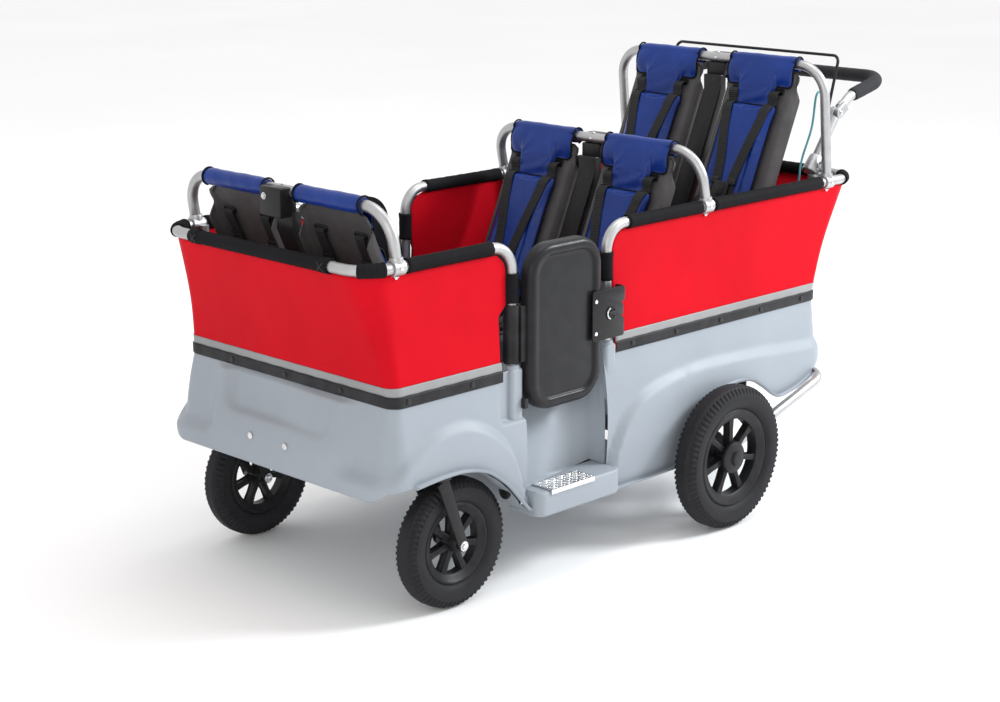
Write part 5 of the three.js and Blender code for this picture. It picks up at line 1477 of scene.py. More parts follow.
def puffed(bm, matrix, name):
    """A padded form: blown up as cloth, kept flat where it rests, then sewn down along its channels."""
    bmesh.ops.transform(bm, matrix=matrix.inverted(), verts=bm.verts)
    bmesh.ops.transform(bm, matrix=Matrix.Scale(0.001, 4), verts=bm.verts)
    bmesh.ops.recalc_face_normals(bm, faces=bm.faces)
    mesh = bpy.data.meshes.new(name)
    bm.to_mesh(mesh)
    bm.free()
    obj = bpy.data.objects.new(name, mesh)
    scene = bpy.context.scene
    scene.collection.objects.link(obj)
    remesh = obj.modifiers.new("even mesh", "REMESH")
    remesh.mode = "VOXEL"
    remesh.voxel_size = 0.005
    depsgraph = bpy.context.evaluated_depsgraph_get()
    start = bpy.data.meshes.new_from_object(obj.evaluated_get(depsgraph))
    obj.modifiers.clear()
    obj.data = start
    rest = [vert.co.copy() for vert in start.vertices]
    cloth = obj.modifiers.new("padding", "CLOTH")
    cloth.settings.use_pressure = True
    cloth.settings.uniform_pressure_force = 4.0
    cloth.settings.quality = 5
    cloth.settings.mass = 0.3
    cloth.settings.tension_stiffness = 12.0
    cloth.settings.compression_stiffness = 12.0
    cloth.settings.bending_stiffness = 0.6
    cloth.settings.effector_weights.gravity = 0.0
    for step in range(1, 21):
        scene.frame_set(step)
    depsgraph = bpy.context.evaluated_depsgraph_get()
    result = bpy.data.meshes.new_from_object(obj.evaluated_get(depsgraph))
    moved = [vert.co.copy() for vert in result.vertices]
    scene.frame_set(1)
    bpy.data.meshes.remove(result)
    form = bmesh.new()
    form.from_mesh(start)
    form.verts.ensure_lookup_table()
    for vert, here, there in zip(form.verts, rest, moved):
        step = there - here
        if step.length > PUFF_LIMIT / 1000:
            step = step.normalized() * (PUFF_LIMIT / 1000)
        vert.co = (here + step) * 1000
    for _ in range(2):
        bmesh.ops.smooth_vert(form, verts=form.verts, factor=0.4, use_axis_x=True, use_axis_y=True,
                              use_axis_z=True)
    low = min(vert.co.y for vert in form.verts)
    high = max(vert.co.y for vert in form.verts)
    for vert in form.verts:
        x, along, out = vert.co
        if out > 4.0:
            ends = smooth_step(low, low + 26.0, along) * smooth_step(high, high - 26.0, along)
            for channel in (-CHANNEL_X, CHANNEL_X):
                near = math.exp(-((x - channel) / 4.6) ** 2)
                vert.co.z -= CHANNEL_DEPTH * near * (0.4 + 0.6 * ends) * min((out - 4.0) / 8.0, 1.0)
            vert.co.z += 0.5 * math.sin(along / 17.0 + x / 29.0) * math.sin(x / 23.0 + 1.0)
        vert.co.z = max(vert.co.z, 0.5)
    bpy.data.objects.remove(obj)
    layer = form.loops.layers.uv.verify()
    for face in form.faces:
        for loop in face.loops:
            loop[layer].uv = (loop.vert.co.x / 1000, loop.vert.co.y / 1000)
    bmesh.ops.subdivide_edges(form, edges=form.edges, cuts=1, use_grid_fill=True, smooth=0.6)
    tree = BVHTree.FromBMesh(form)
    bmesh.ops.transform(form, matrix=matrix, verts=form.verts)
    bmesh.ops.recalc_face_normals(form, faces=form.faces)
    return stored(form, name), tree


def pad_edge(tree, width, low, high, out):
    """Points round a pad's edge, found on the blown-up form from outside."""
    centre = Vector((0.0, (low + high) / 2, out))
    points = []
    for x, along in rounded_outline((-width / 2, low), (width / 2, high), 20.0, 10):
        points.append(Vector((x, along, out)))
    line = even(points + [points[0]], 150)[:-1]
    result = []
    for point in line:
        away = point - centre
        away.z = 0.0
        if abs(away.x) / width > abs(away.y) / (high - low):
            normal = Vector((math.copysign(1.0, away.x), 0.0, 0.0))
        else:
            normal = Vector((0.0, math.copysign(1.0, away.y), 0.0))
        hit = tree.ray_cast(point + normal * 40.0, -normal, 80.0)[0]
        result.append(hit + normal * 0.6 if hit else point)
    smooth = []
    for k in range(len(result)):
        smooth.append((result[k - 1] + result[k] * 2 + result[(k + 1) % len(result)]) / 4)
    return smooth


def pad_surface(tree, x, along, fallback):
    """How far a pad stands out of its shell at one place."""
    hit = tree.ray_cast(Vector((x, along, 80.0)), Vector((0, 0, -1)), 120.0)[0]
    return hit.z if hit else fallback


# The cover's roll round the bar and its half width
ROLL_RADIUS, FLAP_HALF = 17.2, 92.0


def flap_line():
    """The side view of the cover's roll, from behind the bar to its front, in (along, out)."""
    angles = [math.radians(236.0 - step * 13.0) for step in range(19)]
    return [(BAR_REACH + ROLL_RADIUS * math.sin(angle),
             ROLL_RADIUS * math.cos(angle)) for angle in angles]


def flap_foot(x):
    """How far down the cover reaches: its ears end high, its neck runs into the back pad."""
    ear = 356.0 + 10.0 * (1.0 - math.sqrt(max(1.0 - max(abs(x) - 76.0, 0.0) ** 2 / 16.0 ** 2, 0.0)))
    return mix(ear, 308.0, smooth_step(53.0, 42.0, abs(x)))


def flap_place(x, hang):
    """A point of the cover in front of the bar; hang runs from the roll (0) to its foot (1)."""
    along = mix(BAR_REACH, flap_foot(x), hang)
    out = mix(ROLL_RADIUS, 12.5, hang) + 4.5 * math.sin(math.pi * min(hang * 1.3, 1.0))
    out -= 7.0 * smooth_step(0.72, 1.0, hang) + 5.0 * (abs(x) / FLAP_HALF) ** 8
    for side in (-1, 1):
        reach_x, reach_up = x - side * 47.0, along - 352.0
        away = math.hypot(reach_x, reach_up)
        turn = math.atan2(reach_up, -side * reach_x)
        out += 1.7 * math.exp(-away / 26.0) * math.sin(turn * 7.0 + side) * smooth_step(2.0, 12.0, away)
    neck = smooth_step(52.0, 40.0, abs(x)) * smooth_step(350.0, 334.0, along)
    return on_back(along, max(out + 0.9 * math.sin(along / 4.6 + x / 17.0) * neck, 3.0), x)


def flap_form():
    """The padded cover: rolled over the bar, then down with creases from its neck's corners."""
    line = flap_line()
    roll = len(line) - 1
    rows = roll * 2 + 30
    bm = bmesh.new()

    def place(u, v):
        x, row = (u - 0.5) * 2 * FLAP_HALF, round(v * rows)
        if row > roll * 2:
            return flap_place(x, (row - roll * 2) / 30.0)
        n = min(row // 2, roll - 1)
        share = row / 2 - n
        swell = 1.0 + (math.sin(x / 7.6 + row / 5.0) * 0.25 + math.sin(x / 19.0) * 0.35) / 17.0
        swell -= 0.12 * (abs(x) / FLAP_HALF) ** 14
        along, out = mix(line[n][0], line[n + 1][0], share), mix(line[n][1], line[n + 1][1], share)
        return on_back(BAR_REACH + (along - BAR_REACH) * swell, out * swell, x)

    surface(bm, 92, rows, place, uv=lambda u, v: (u * 0.184, v * 0.13))
    bmesh.ops.recalc_face_normals(bm, faces=bm.faces)
    top = [face for face in bm.faces if face.calc_center_median().z > math.cos(RECLINE) * 422.0]
    if sum(face.normal.z for face in top) < 0:
        bmesh.ops.reverse_faces(bm, faces=bm.faces)
    bmesh.ops.solidify(bm, geom=list(bm.faces), thickness=3.0)
    bmesh.ops.recalc_face_normals(bm, faces=bm.faces)
    return stored(bm, "flap form")


def flap_piping():
    """The black piping round the cover's sides and ears, up to its neck."""
    edge = [on_back(along, out, FLAP_HALF) for along, out in flap_line()]
    edge += [flap_place(FLAP_HALF, hang / 10.0) for hang in range(1, 9)]
    edge += [flap_place(x, 1.0) for x in (91.0, 88.0, 84.0, 78.0, 70.0, 60.0, 54.0)]
    bm = bmesh.new()
    for line in (edge, [across(point) for point in edge]):
        tube(bm, even(line, 80), 1.9, 10)
    return bm


STRAP_WIDTH, STRAP_THICKNESS = 25.0, 1.8


def strap(bm, points, out):
    """Webbing laid along points; out gives the side that it faces at each point."""
    points = [Vector(point) for point in points]
    last = len(points) - 1
    lengths = [0.0]
    for before, after in zip(points, points[1:]):
        lengths.append(lengths[-1] + (after - before).length)
    ring = [(-0.5, 0.0), (-0.5, 0.5), (-0.47, 1.0), (-0.25, 1.06), (0.0, 1.08), (0.25, 1.06),
            (0.47, 1.0), (0.5, 0.5), (0.5, 0.0), (0.25, 0.0), (-0.25, 0.0)]

    def place(u, v):
        k = round(v * last)
        tangent = (points[min(k + 1, last)] - points[max(k - 1, 0)]).normalized()
        side = tangent.cross(out[k]).normalized()
        face = side.cross(tangent).normalized()
        a, b = ring[round(u * len(ring)) % len(ring)]
        return points[k] + side * (a * STRAP_WIDTH) + face * (b * STRAP_THICKNESS)

    verts = surface(bm, len(ring), last, place, closed=True,
                    uv=lambda u, v: (ring[round(u * len(ring)) % len(ring)][0] * STRAP_WIDTH / 1000,
                                     lengths[round(v * last)] / 1000))
    close_holes(bm, verts)


def harness_form(tree):
    """Shoulder straps from the slots to the buckle, waist straps and a strap between the legs."""
    def surface_out(x, along, spare=0.8):
        return pad_surface(tree, x, along, 6.0) + spare

    back_out = on_back(0.0, 1.0)
    bm = bmesh.new()
    for sign in (1, -1):
        points = []
        for below, height in ((0.0, -5.0), (0.0, 1.0), (1.0, 6.5), (5.0, 11.5), (10.0, 15.0)):
            points.append(on_back(SLOT_UP - below, height, sign * SLOT_X))
        for step in range(1, 41):
            along = 336.0 - step * 6.0
            x = mix(SLOT_X, 20.0, smooth_step(346.0, 96.0, along))
            height = max(surface_out(x - 10.0, along), surface_out(x, along),
                         surface_out(x + 10.0, along))
            height = mix(15.0, height, smooth_step(336.0, 316.0, along))
            points.append(on_back(along, height, sign * x))
        strap(bm, even(points, 90), [back_out] * 90)
        waist = []
        for step in range(15):
            x = mix(19.0, 88.0, step / 14)
            along = mix(96.0, 44.0, step / 14)
            waist.append(on_back(along, surface_out(x, along, 1.0), sign * x))
        strap(bm, waist, [back_out] * 15)
    crotch = [on_back(84.0, surface_out(0, 84.0, 2.0)), on_back(66.0, surface_out(0, 66.0, 3.0)),
              on_back(50.0, 30.0), on_pan(52.0, 34.0), on_pan(64.0, 27.5), on_pan(80.0, 25.0),
              on_pan(96.0, 24.0)]
    line = even(crotch, 34)
    pan_out = on_pan(0.0, 1.0)
    outs = [back_out.lerp(pan_out, smooth_step(0.2, 0.7, k / 33)).normalized() for k in range(34)]
    strap(bm, line, outs)
    return stored(bm, "webbing form")


def buckle_form(tree):
    """The harness buckle: a rounded body, a raised button and the tongues that enter it."""
    base = pad_surface(tree, 0.0, 96.0, 24.0) + 1.6
    bm = bmesh.new()
    outline = rounded_outline((-21.0, 73.0), (21.0, 119.0), 9.0, 6)
    plate(bm, outline, "Z", base, base + 8.5, edge=2.4, segments=4)
    plate(bm, rounded_outline((-10.0, 86.0), (10.0, 108.0), 6.0, 6), "Z", base + 7.4, base + 10.2,
          edge=1.6)
    for x in (-24.0, 24.0):
        plate(bm, rounded_outline((x - 11.0, 113.0), (x + 11.0, 129.0), 4.0, 4), "Z", base - 0.2,
              base + 5.6, edge=1.6)
    bmesh.ops.transform(bm, matrix=BACK_MATRIX, verts=bm.verts)
    bmesh.ops.recalc_face_normals(bm, faces=bm.faces)
    return stored(bm, "buckle form")


def back_strap_form():
    """The straps' free ends behind the shell: out of the slots, down to a slide, and on."""
    out = [-on_back(0.0, 1.0)] * 40
    bm = bmesh.new()
    for x in (-SLOT_X, SLOT_X):
        points = [on_back(SLOT_UP, -3.0, x), on_back(346.5, -8.0, x), on_back(343.0, -11.0, x),
                  on_back(330.0, -12.0, x), on_back(280.0, -10.5, x * 0.97),
                  on_back(226.0, -9.0, x * 0.94)]
        strap(bm, even(points, 40), out)
        points = [on_back(296.0, -13.6, x * 0.98 + 2.0), on_back(250.0, -13.0, x * 0.95 + 3.0),
                  on_back(196.0, -16.0, x * 0.93 + 5.0)]
        strap(bm, even(rounded(points, 20), 40), out)
    return stored(bm, "back strap form")


def slide_form():
    """The slides that join the straps' ends behind the shell."""
    bm = bmesh.new()
    for x in (-SLOT_X, SLOT_X):
        for rise in (292.0, 284.0, 276.0):
            tube(bm, [on_back(rise, -14.4, x * 0.975 - 13.0), on_back(rise, -16.0, x * 0.975),
                      on_back(rise, -14.4, x * 0.975 + 13.0)], 1.5, 10)
        for side in (-13.0, 13.0):
            tube(bm, [on_back(294.0, -14.0, x * 0.975 + side), on_back(274.0, -14.0, x * 0.975 + side)],
                 1.7, 10)
    return stored(bm, "slide form")


def line_band(points, near, far):
    """The outline of a band beside a broken line, in (station, height)."""
    def side(distance):
        result = []
        for k, point in enumerate(points):
            into = (point - points[k - 1]).normalized() if k else (points[1] - point).normalized()
            out = (points[k + 1] - point).normalized() if k < len(points) - 1 else into
            middle = (into + out).normalized()
            reach = distance / middle.dot(into)
            result.append((point.x - middle.y * reach, point.y + middle.x * reach))
        return result

    return list(reversed(side(far))) + side(near)


def carrier_form(drop):
    """The black carrier between two seats: bar block, leaning post, arm, cross tube and foot."""
    def flat(vector):
        return Vector((vector.y, vector.z))

    bar = on_back(BAR_REACH, 0.0)
    hip = flat(on_back(6.0, -22.0))
    tube_at = on_pan(92.0, -17.3)
    bm = bmesh.new()
    block = rounded_outline((bar.y - 34.0, bar.z - 48.0), (bar.y - 5.0, bar.z + 10.0), 4.0, 4)
    plate(bm, block, "X", -30.0, 30.0, edge=2.4)
    box(bm, (-26.0, bar.y - 8.0, bar.z - 40.0), (26.0, bar.y + 10.0, bar.z - 11.4), edge=2.0)
    top = [flat(on_back(BAR_REACH - 40.0, -4.0)), flat(on_back(BAR_REACH - 72.0, -20.0)), hip,
           Vector((hip.x, 0.3 - drop))]
    plate(bm, line_band(top, -12.0, 12.0), "X", -24.0, 24.0, edge=2.5)
    plate(bm, line_band([hip, flat(tube_at)], -10.0, 10.0), "X", -12.0, 12.0, edge=2.0)
    tube(bm, [(-226.0, tube_at.y, tube_at.z), (226.0, tube_at.y, tube_at.z)], 11.0, 24)
    foot = rounded_outline((-28.0, hip.x - 28.0), (28.0, hip.x + 28.0), 6.0, 4)
    plate(bm, foot, "Z", 0.3 - drop, 5.3 - drop, edge=1.0)
    return bm


def make_seats():
    back_pad, back_tree = puffed(pillow_start(*BACK_PAD, BACK_MATRIX), BACK_MATRIX, "back pad form")
    pan_pad, pan_tree = puffed(pillow_start(*PAN_PAD, PAN_MATRIX), PAN_MATRIX, "pan pad form")
    # The third form is near-black sheets of painted shade across the strap slots
    shell, slots, hollows = shell_form(), slot_form(), painted_slot_shade_form()
    flap = flap_form()
    bm = flap_piping()
    for tree, matrix, (width, length) in ((back_tree, BACK_MATRIX, BACK_PAD),
                                          (pan_tree, PAN_MATRIX, PAN_PAD)):
        edge = pad_edge(tree, width + 4.0, PAD_LOW - 1.0, PAD_LOW + length + 1.0, 10.0)
        line = [matrix @ point for point in edge]
        tube(bm, line, 2.0, 10, capped=False, closed=True)
    piping = stored(bm, "piping form")
    webbing, buckle = harness_form(back_tree), buckle_form(back_tree)
    back_straps, slides = back_strap_form(), slide_form()
    for row in SEAT_ROWS:
        name, _, height, facing = row
        bm = carrier_form(height - CARRIER_FLOOR[name])
        bmesh.ops.transform(bm, matrix=seat_matrix(row), verts=bm.verts)
        finish_piece(bm, f"{name}_carrier", "enamel", "chassis", "black_steel",
                     [f"{name}_seat_carrier"])
        bar = seat_matrix(row) @ on_back(BAR_REACH, 0.0)
        bm = bmesh.new()
        hex_bolt(bm, (-17.0, bar.y - facing * 34.0, bar.z - 9.0), 5.0, 3.6, "Y", -facing)
        bolt(bm, (0.0, bar.y + facing * 10.6, bar.z), 3.2, 1.6, "Y", facing)
        finish_piece(bm, f"{name}_carrier_screws", "zinc", "chassis", "bright_steel")
        for side, sign in SIDES:
            place = seat_matrix(row, sign)
            forms = (
                ("seat_back", shell, "shell", "grey_plastic", [f"{name}_seat_shell_{side}"]),
                ("slot_frames", slots, "black", "black_plastic", []),
                # Near-black sheets across the strap slots: painted shade in the openings
                ("slot_hollows", hollows, "hollow", "black_plastic", []),
                ("back_cushion", back_pad, "blue", "blue_cloth", [f"{name}_seat_pad_{side}"]),
                ("pan_cushion", pan_pad, "blue", "blue_cloth", []),
                ("bar_flap", flap, "blue", "blue_cloth", []),
                ("pad_piping", piping, "piping", "black_trim", []),
                ("straps", webbing, "webbing", "webbing", [f"{name}_harness_{side}"]),
                ("buckle", buckle, "black", "black_plastic", []),
                ("rear_straps", back_straps, "webbing", "webbing", []),
                ("strap_slides", slides, "black", "black_plastic", []),
            )
            for label, form, finish, slot, nodes in forms:
                obj = finish_piece(copied(form, place), f"{name}_{label}_{side}", finish, "chassis",
                                   slot, nodes, angle=45.0)
                if label.endswith("cushion") or label == "bar_flap":
                    0.6 if label != "bar_flap" else 0.3


# Wheels and castors

def on_wheel(centre, x, radius, angle):
    """A point of a wheel: how far out along its axle, its radius and its angle from the top."""
    return Vector((centre[0] + x, centre[1] + radius * math.sin(angle),
                   centre[2] + radius * math.cos(angle)))


def tyre_surface(bm, about, centre):
    """A square-shouldered tyre: radial cuts in its shoulders, scalloped grooves by its middle."""
    inner, outer, half = about["rim"] - 0.6, about["radius"], about["width"] / 2
    cuts = about["cuts"]
    steps, rows = 8 * cuts, 44

    def place(u, v):
        angle, turn = u * 2 * math.pi, v * 2 * math.pi
        reach = math.cos(turn)
        x = half * math.copysign(abs(math.sin(turn)) ** 0.66, math.sin(turn))
        radius = (inner + outer) / 2 + (outer - inner) / 2 * math.copysign(abs(reach) ** 0.6, reach)
        x *= 1.0 - (0.3 if reach < 0 else 0.1) * abs(reach) ** 1.5
        share = abs(x) / half
        if radius > outer - 20.0 and reach > 0:
            cut = smooth_step(-0.25, 0.15, math.sin(angle * cuts))
            shoulder = smooth_step(0.6, 0.68, share) * smooth_step(outer - 19.0, outer - 13.0, radius)
            radius -= 3.0 * cut * shoulder
            x -= math.copysign(1.6, x) * cut * shoulder
            lane = 0.54 + 0.07 * abs(math.sin(angle * cuts / 2))
            radius -= 3.4 * math.exp(-((share - lane) / 0.06) ** 2)
            radius -= 1.2 * math.exp(-(share / 0.07) ** 2)
        return on_wheel(centre, x, radius, angle)

    verts = surface(bm, steps, rows, place, closed=True, uv=lambda u, v: (u * 0.9, v * 0.2))
    bmesh.ops.recalc_face_normals(bm, faces=faces_of(verts))
    # A raised line on each side wall
    for way in (-1, 1):
        radius = inner + (outer - inner) * 0.66
        line = [on_wheel(centre, way * (half - 1.0), radius, 2 * math.pi * k / 96) for k in range(96)]
        tube(bm, line, 1.0, 6, capped=False, closed=True)


def rim_form(bm, about, centre, hub, hub_half, face_out):
    """A moulded seven-spoke rim: a wide sloping band, ribbed spokes and a hub."""
    radius, band, half = about["rim"], about["band"], about["depth"] / 2
    seat = about["width"] / 2 * 0.7
    side = [(radius + 4.6, seat - 5.0), (radius + 4.0, seat - 0.6), (radius + 1.6, seat + 1.4),
            (radius - 1.6, seat + 1.4), (radius - band * 0.5, seat - 3.6),
            (radius - band + 2.0, half - 3.0), (radius - band, half - 5.0)]
    profile = side + [(level, -place) for level, place in reversed(side)]
    turned(bm, profile, centre, "X", steps=96, ring=True)
    reach = radius - band + 3.0

    def spoke(foot, waist, top):
        edge = [(foot, hub - 4.0), (waist, (hub + reach) / 2), (top, reach)]
        return [(-place, level) for place, level in edge] + edge[::-1]

    for k in range(7):
        turn = Matrix.Translation(Vector(centre)) @ Matrix.Rotation(2 * math.pi * k / 7, 4, "X")
        plate(bm, spoke(5.2, 3.6, 5.4), "X", -7.6, 7.6, edge=0.6, segments=2, matrix=turn)
        for way in (-1, 1):
            low, high = sorted((way * 6.8, way * 9.6))
            plate(bm, spoke(7.4, 5.6, 7.8), "X", low, high, edge=1.1, matrix=turn)
            low, high = sorted((way * 9.0, way * 10.4))
            ridge = [(-1.2, hub - 2.0), (-1.2, reach), (1.2, reach), (1.2, hub - 2.0)]
            plate(bm, ridge, "X", low, high, edge=0.4, segments=1, matrix=turn)
    profile = [(8.6, -hub_half), (hub - 5.0, -hub_half), (hub - 3.6, -hub_half + 1.5), (hub, -11.0),
               (hub, 11.0), (hub - 3.6, hub_half - 1.5), (hub - 5.0, hub_half), (8.6, hub_half)]
    turned(bm, profile, centre, "X", steps=40, ring=True)
    if face_out:
        turned(bm, [(0.0, 12.0), (33.0, 12.0), (34.6, 13.0), (35.0, 16.0), (33.6, 19.4), (28.0, 22.2),
                    (20.0, 24.0), (17.0, 24.4), (16.4, 26.0), (15.8, 29.6), (13.8, 30.8), (6.0, 31.0),
                    (0.0, 31.0)], centre, "X",
               steps=56)


def make_wheels():
    for side, sign in SIDES:
        centre = (CASTOR_X, CASTOR_STATION + CASTOR_TRAIL, FRONT_WHEEL["radius"])
        for label, about, middle, body, hub in (
                ("front", FRONT_WHEEL, centre, f"front_wheel_{side}", (18.0, 28.0, False)),
                ("rear", REAR_WHEEL, (REAR_WHEEL_X, REAR_WHEEL_STATION, REAR_WHEEL["radius"]),
                 f"rear_wheel_{side}", (22.0, 26.0, True))):
            bm = bmesh.new()
            tyre_surface(bm, about, middle)
            finish_piece(bm, f"{label}_tyre_tread_{side}", "rubber", body, "tyre_rubber",
                         [f"{label}_tyre_{side}"], angle=38.0, sign=sign)
            bm = bmesh.new()
            rim_form(bm, about, middle, *hub)
            finish_piece(bm, f"{label}_wheel_rim_{side}", "black", body, "black_plastic",
                         [f"{label}_rim_{side}"], angle=40.0, sign=sign)


FORK_HALF, LEG_THICKNESS = 38.0, 5.0


def make_castors():
    bm = bmesh.new()
    box(bm, (-302.0, CASTOR_STATION - 32.0, 286.7), (302.0, CASTOR_STATION + 32.0, 296.7), edge=2.0)
    part = bmesh.new()
    turned(part, [(11.4, 279.3), (19.6, 279.3), (21.0, 280.8), (21.0, 336.6), (19.6, 338.0),
                  (11.4, 338.0)],
           (CASTOR_X, CASTOR_STATION, 0.0), "Z", steps=36, ring=True)
    add_pair(bm, part)
    finish_piece(bm, "castor_cross_member", "enamel", "chassis", "black_steel", ["front_crossbar"])
    for side, sign in SIDES:
        x, station = CASTOR_X, CASTOR_STATION
        body = f"castor_{side}"
        bm = bmesh.new()
        box(bm, (x - FORK_HALF, station - 16.0, 273.0), (x + FORK_HALF, station + 16.0, 279.0),
            edge=2.2, segments=4)
        turned(bm, [(0.0, 277.0), (11.0, 277.0), (11.0, 333.0), (10.0, 334.0), (0.0, 334.0)],
               (x, station, 0.0), "Z", steps=28)
        top = Vector((station, 276.0))
        axle = Vector((station + CASTOR_TRAIL, FRONT_WHEEL["radius"]))
        way = (axle - top).normalized()
        across_way = Vector((-way.y, way.x))
        turn = math.atan2(way.y, way.x)
        outline = []
        for step in range(17):
            angle = turn - math.pi / 2 + math.pi * step / 16
            outline.append(tuple(axle + Vector((math.cos(angle), math.sin(angle))) * 11.5))
        outline.append(tuple(top + across_way * 14.5 + way * 0.5))
        outline.append(tuple(top - across_way * 14.5 + way * 6.0))
        for low in (FORK_HALF - LEG_THICKNESS, -FORK_HALF):
            plate(bm, outline, "X", x + low, x + low + LEG_THICKNESS, edge=1.4)
            # The leg's top, bent over the crown
            box(bm, (x + low - 7.0, station - 16.5, 274.0), (x + low + 12.0, station + 16.5, 282.4),
                edge=2.4, segments=4)
        finish_piece(bm, f"castor_legs_{side}", "enamel", body, "black_steel", [f"castor_fork_{side}"],
                     sign=sign)
        bm = bmesh.new()
        centre = (station + CASTOR_TRAIL, FRONT_WHEEL["radius"])
        rod(bm, 6.0, -FORK_HALF, FORK_HALF, (x, *centre))
        turned(bm, [(21.4, 279.2), (24.6, 279.2), (25.0, 281.0), (24.6, 284.6), (21.4, 284.6)],
               (x, station, 0.0), "Z", steps=36, ring=True)
        for way_x in (1, -1):
            hex_bolt(bm, (x + way_x * FORK_HALF, *centre), 7.4, 5.0, "X", way_x)
        finish_piece(bm, f"castor_bolt_{side}", "zinc", body, "bright_steel", sign=sign)


ADJUSTER_PLACE = (326.0, 1070.0)
AXLE_HALF = 402.0


def make_rear_frame(radius):
    near = [(292.0, 925.0, 80.0), (292.0, 1425.0, 233.0)]
    bm = bmesh.new()
    tube(bm, bent(near + [across(point) for point in reversed(near)], [46.0, 46.0], 14), radius, 28)
    part = bmesh.new()
    bracket = [(931.0, 82.0), (974.0, 95.0), (1010.0, 305.7), (905.0, 305.7)]
    plate(part, bracket, "X", 289.0, 295.0, edge=1.2)
    box(part, (265.0, 905.0, 299.7), (295.0, 1010.0, 305.7), edge=1.2)
    add_pair(bm, part)
    finish_piece(bm, "bumper_and_brackets", "tube", "chassis", "tube_aluminium", ["rear_frame"])
    bm = bmesh.new()
    ends = [(8.0, AXLE_HALF - 1.0), (7.0, AXLE_HALF), (0.0, AXLE_HALF)]
    turned(bm, [(level, -place) for level, place in reversed(ends)] + ends,
           (0.0, REAR_WHEEL_STATION, REAR_WHEEL["radius"]), "X", steps=28)
    for sign in (1, -1):
        tube(bm, [(sign * 300.0, 1012.0, 199.0), (sign * 300.0, 1087.0, 305.0)], 6.0, 20)
    finish_piece(bm, "axle_rod", "zinc", "chassis", "bright_steel", ["rear_axle"])
    bm = bmesh.new()
    # A threaded stem below, a six-sided knob and the rod that goes on up
    for heights, radii, sides in (((250.0, 274.0), 3.4, 16),
                                  ((274.0, 278.0, 292.0, 295.0), [8.0, 11.0, 11.0, 7.0], 6),
                                  ((295.0, 310.0), 2.6, 12)):
        tube(bm, [(*ADJUSTER_PLACE, height) for height in heights], radii, sides)
    finish_piece(bm, "brake_adjuster", "black", "chassis", "black_plastic")
    for side, sign in SIDES:
        bm = bmesh.new()
        centre = (0.0, REAR_WHEEL_STATION, REAR_WHEEL["radius"])
        turned(bm, [(8.4, 326.0), (44.6, 326.0), (46.0, 327.4), (46.0, 342.0), (42.0, 346.0),
                    (30.0, 348.0), (8.4, 348.0)], centre, "X", steps=56, ring=True)
        arm = rounded_outline((REAR_WHEEL_STATION - 8.0, 157.0), (REAR_WHEEL_STATION + 8.0, 219.0), 5.0,
                              5)
        plate(bm, arm, "X", 326.0, 331.0, edge=1.0)
        finish_piece(bm, f"brake_drum_{side}", "black", "chassis", "black_plastic",
                     [f"brake_unit_{side}"], sign=sign)


# Handle, grip, bail and cable

def both_legs(near, bends):
    """A bent line up from the left foot, across, and down to the right foot."""
    return bent(near + [across(point) for point in reversed(near)], bends + bends[::-1], 16)


BAIL_X = 240.0


def make_handle(radius):
    way = (ELBOW - KNUCKLE).normalized()
    bm = bmesh.new()
    tube(bm, both_legs([KNUCKLE + way * 13.6, ELBOW, GRIP_CORNER], [40.0, 52.0]), radius, 28)
    part = bmesh.new()
    eye = tongue_outline((way.y, way.z))
    plate(part, eye, "X", 265.15, 277.3, edge=1.6, matrix=Matrix.Translation((0, KNUCKLE.y, KNUCKLE.z)))
    # The collar that closes the tube's end above the pivot
    collar = [KNUCKLE + way * place for place in (14.5, 15.2, 27.6, 28.4)]
    tube(part, collar, [11.6, 12.4, 12.4, 11.6], 28)
    add_pair(bm, part)
    finish_piece(bm, "grip_tube", "tube", "handle", "tube_aluminium", ["handle_tube"])

    bm = bmesh.new()
    for sign in (1, -1):
        hex_bolt(bm, (sign * 277.2, KNUCKLE.y, KNUCKLE.z), 5.0, 4.0, "X", sign)
    finish_piece(bm, "knuckle_bolts", "zinc", "handle", "bright_steel")

    bm = bmesh.new()
    foam_start = ELBOW + (GRIP_CORNER - ELBOW).normalized() * 10.0
    path = even(both_legs([foam_start, GRIP_CORNER], [52.0]), 200)
    radii = []
    for k in range(200):
        taper = 1.8 * math.exp(-min(k, 199 - k) / 1.4)
        radii.append(GRIP_RADIUS - taper + 0.12 * math.sin(k * 0.9))
    tube(bm, path, radii, 32)
    finish_piece(bm, "foam_sleeve", "foam", "handle", "grip_foam", ["foam_grip"])

    foot = Vector((BAIL_X, KNUCKLE.y, KNUCKLE.z))
    top = foot + Vector((0.0, 36.0, 124.0))
    bm = bmesh.new()
    tube(bm, both_legs([foot, top], [16.0]), 3.5, 16)
    part = bmesh.new()
    turned(part, [(3.0, 236.5), (9.0, 236.5), (10.0, 237.5), (10.0, 251.4), (9.0, 252.4), (3.0, 252.4)],
           (0.0, foot.y, foot.z), "X", steps=28, ring=True)
    add_pair(bm, part)
    finish_piece(bm, "bail_wire", "enamel", "bail", "black_steel", ["brake_bail"])


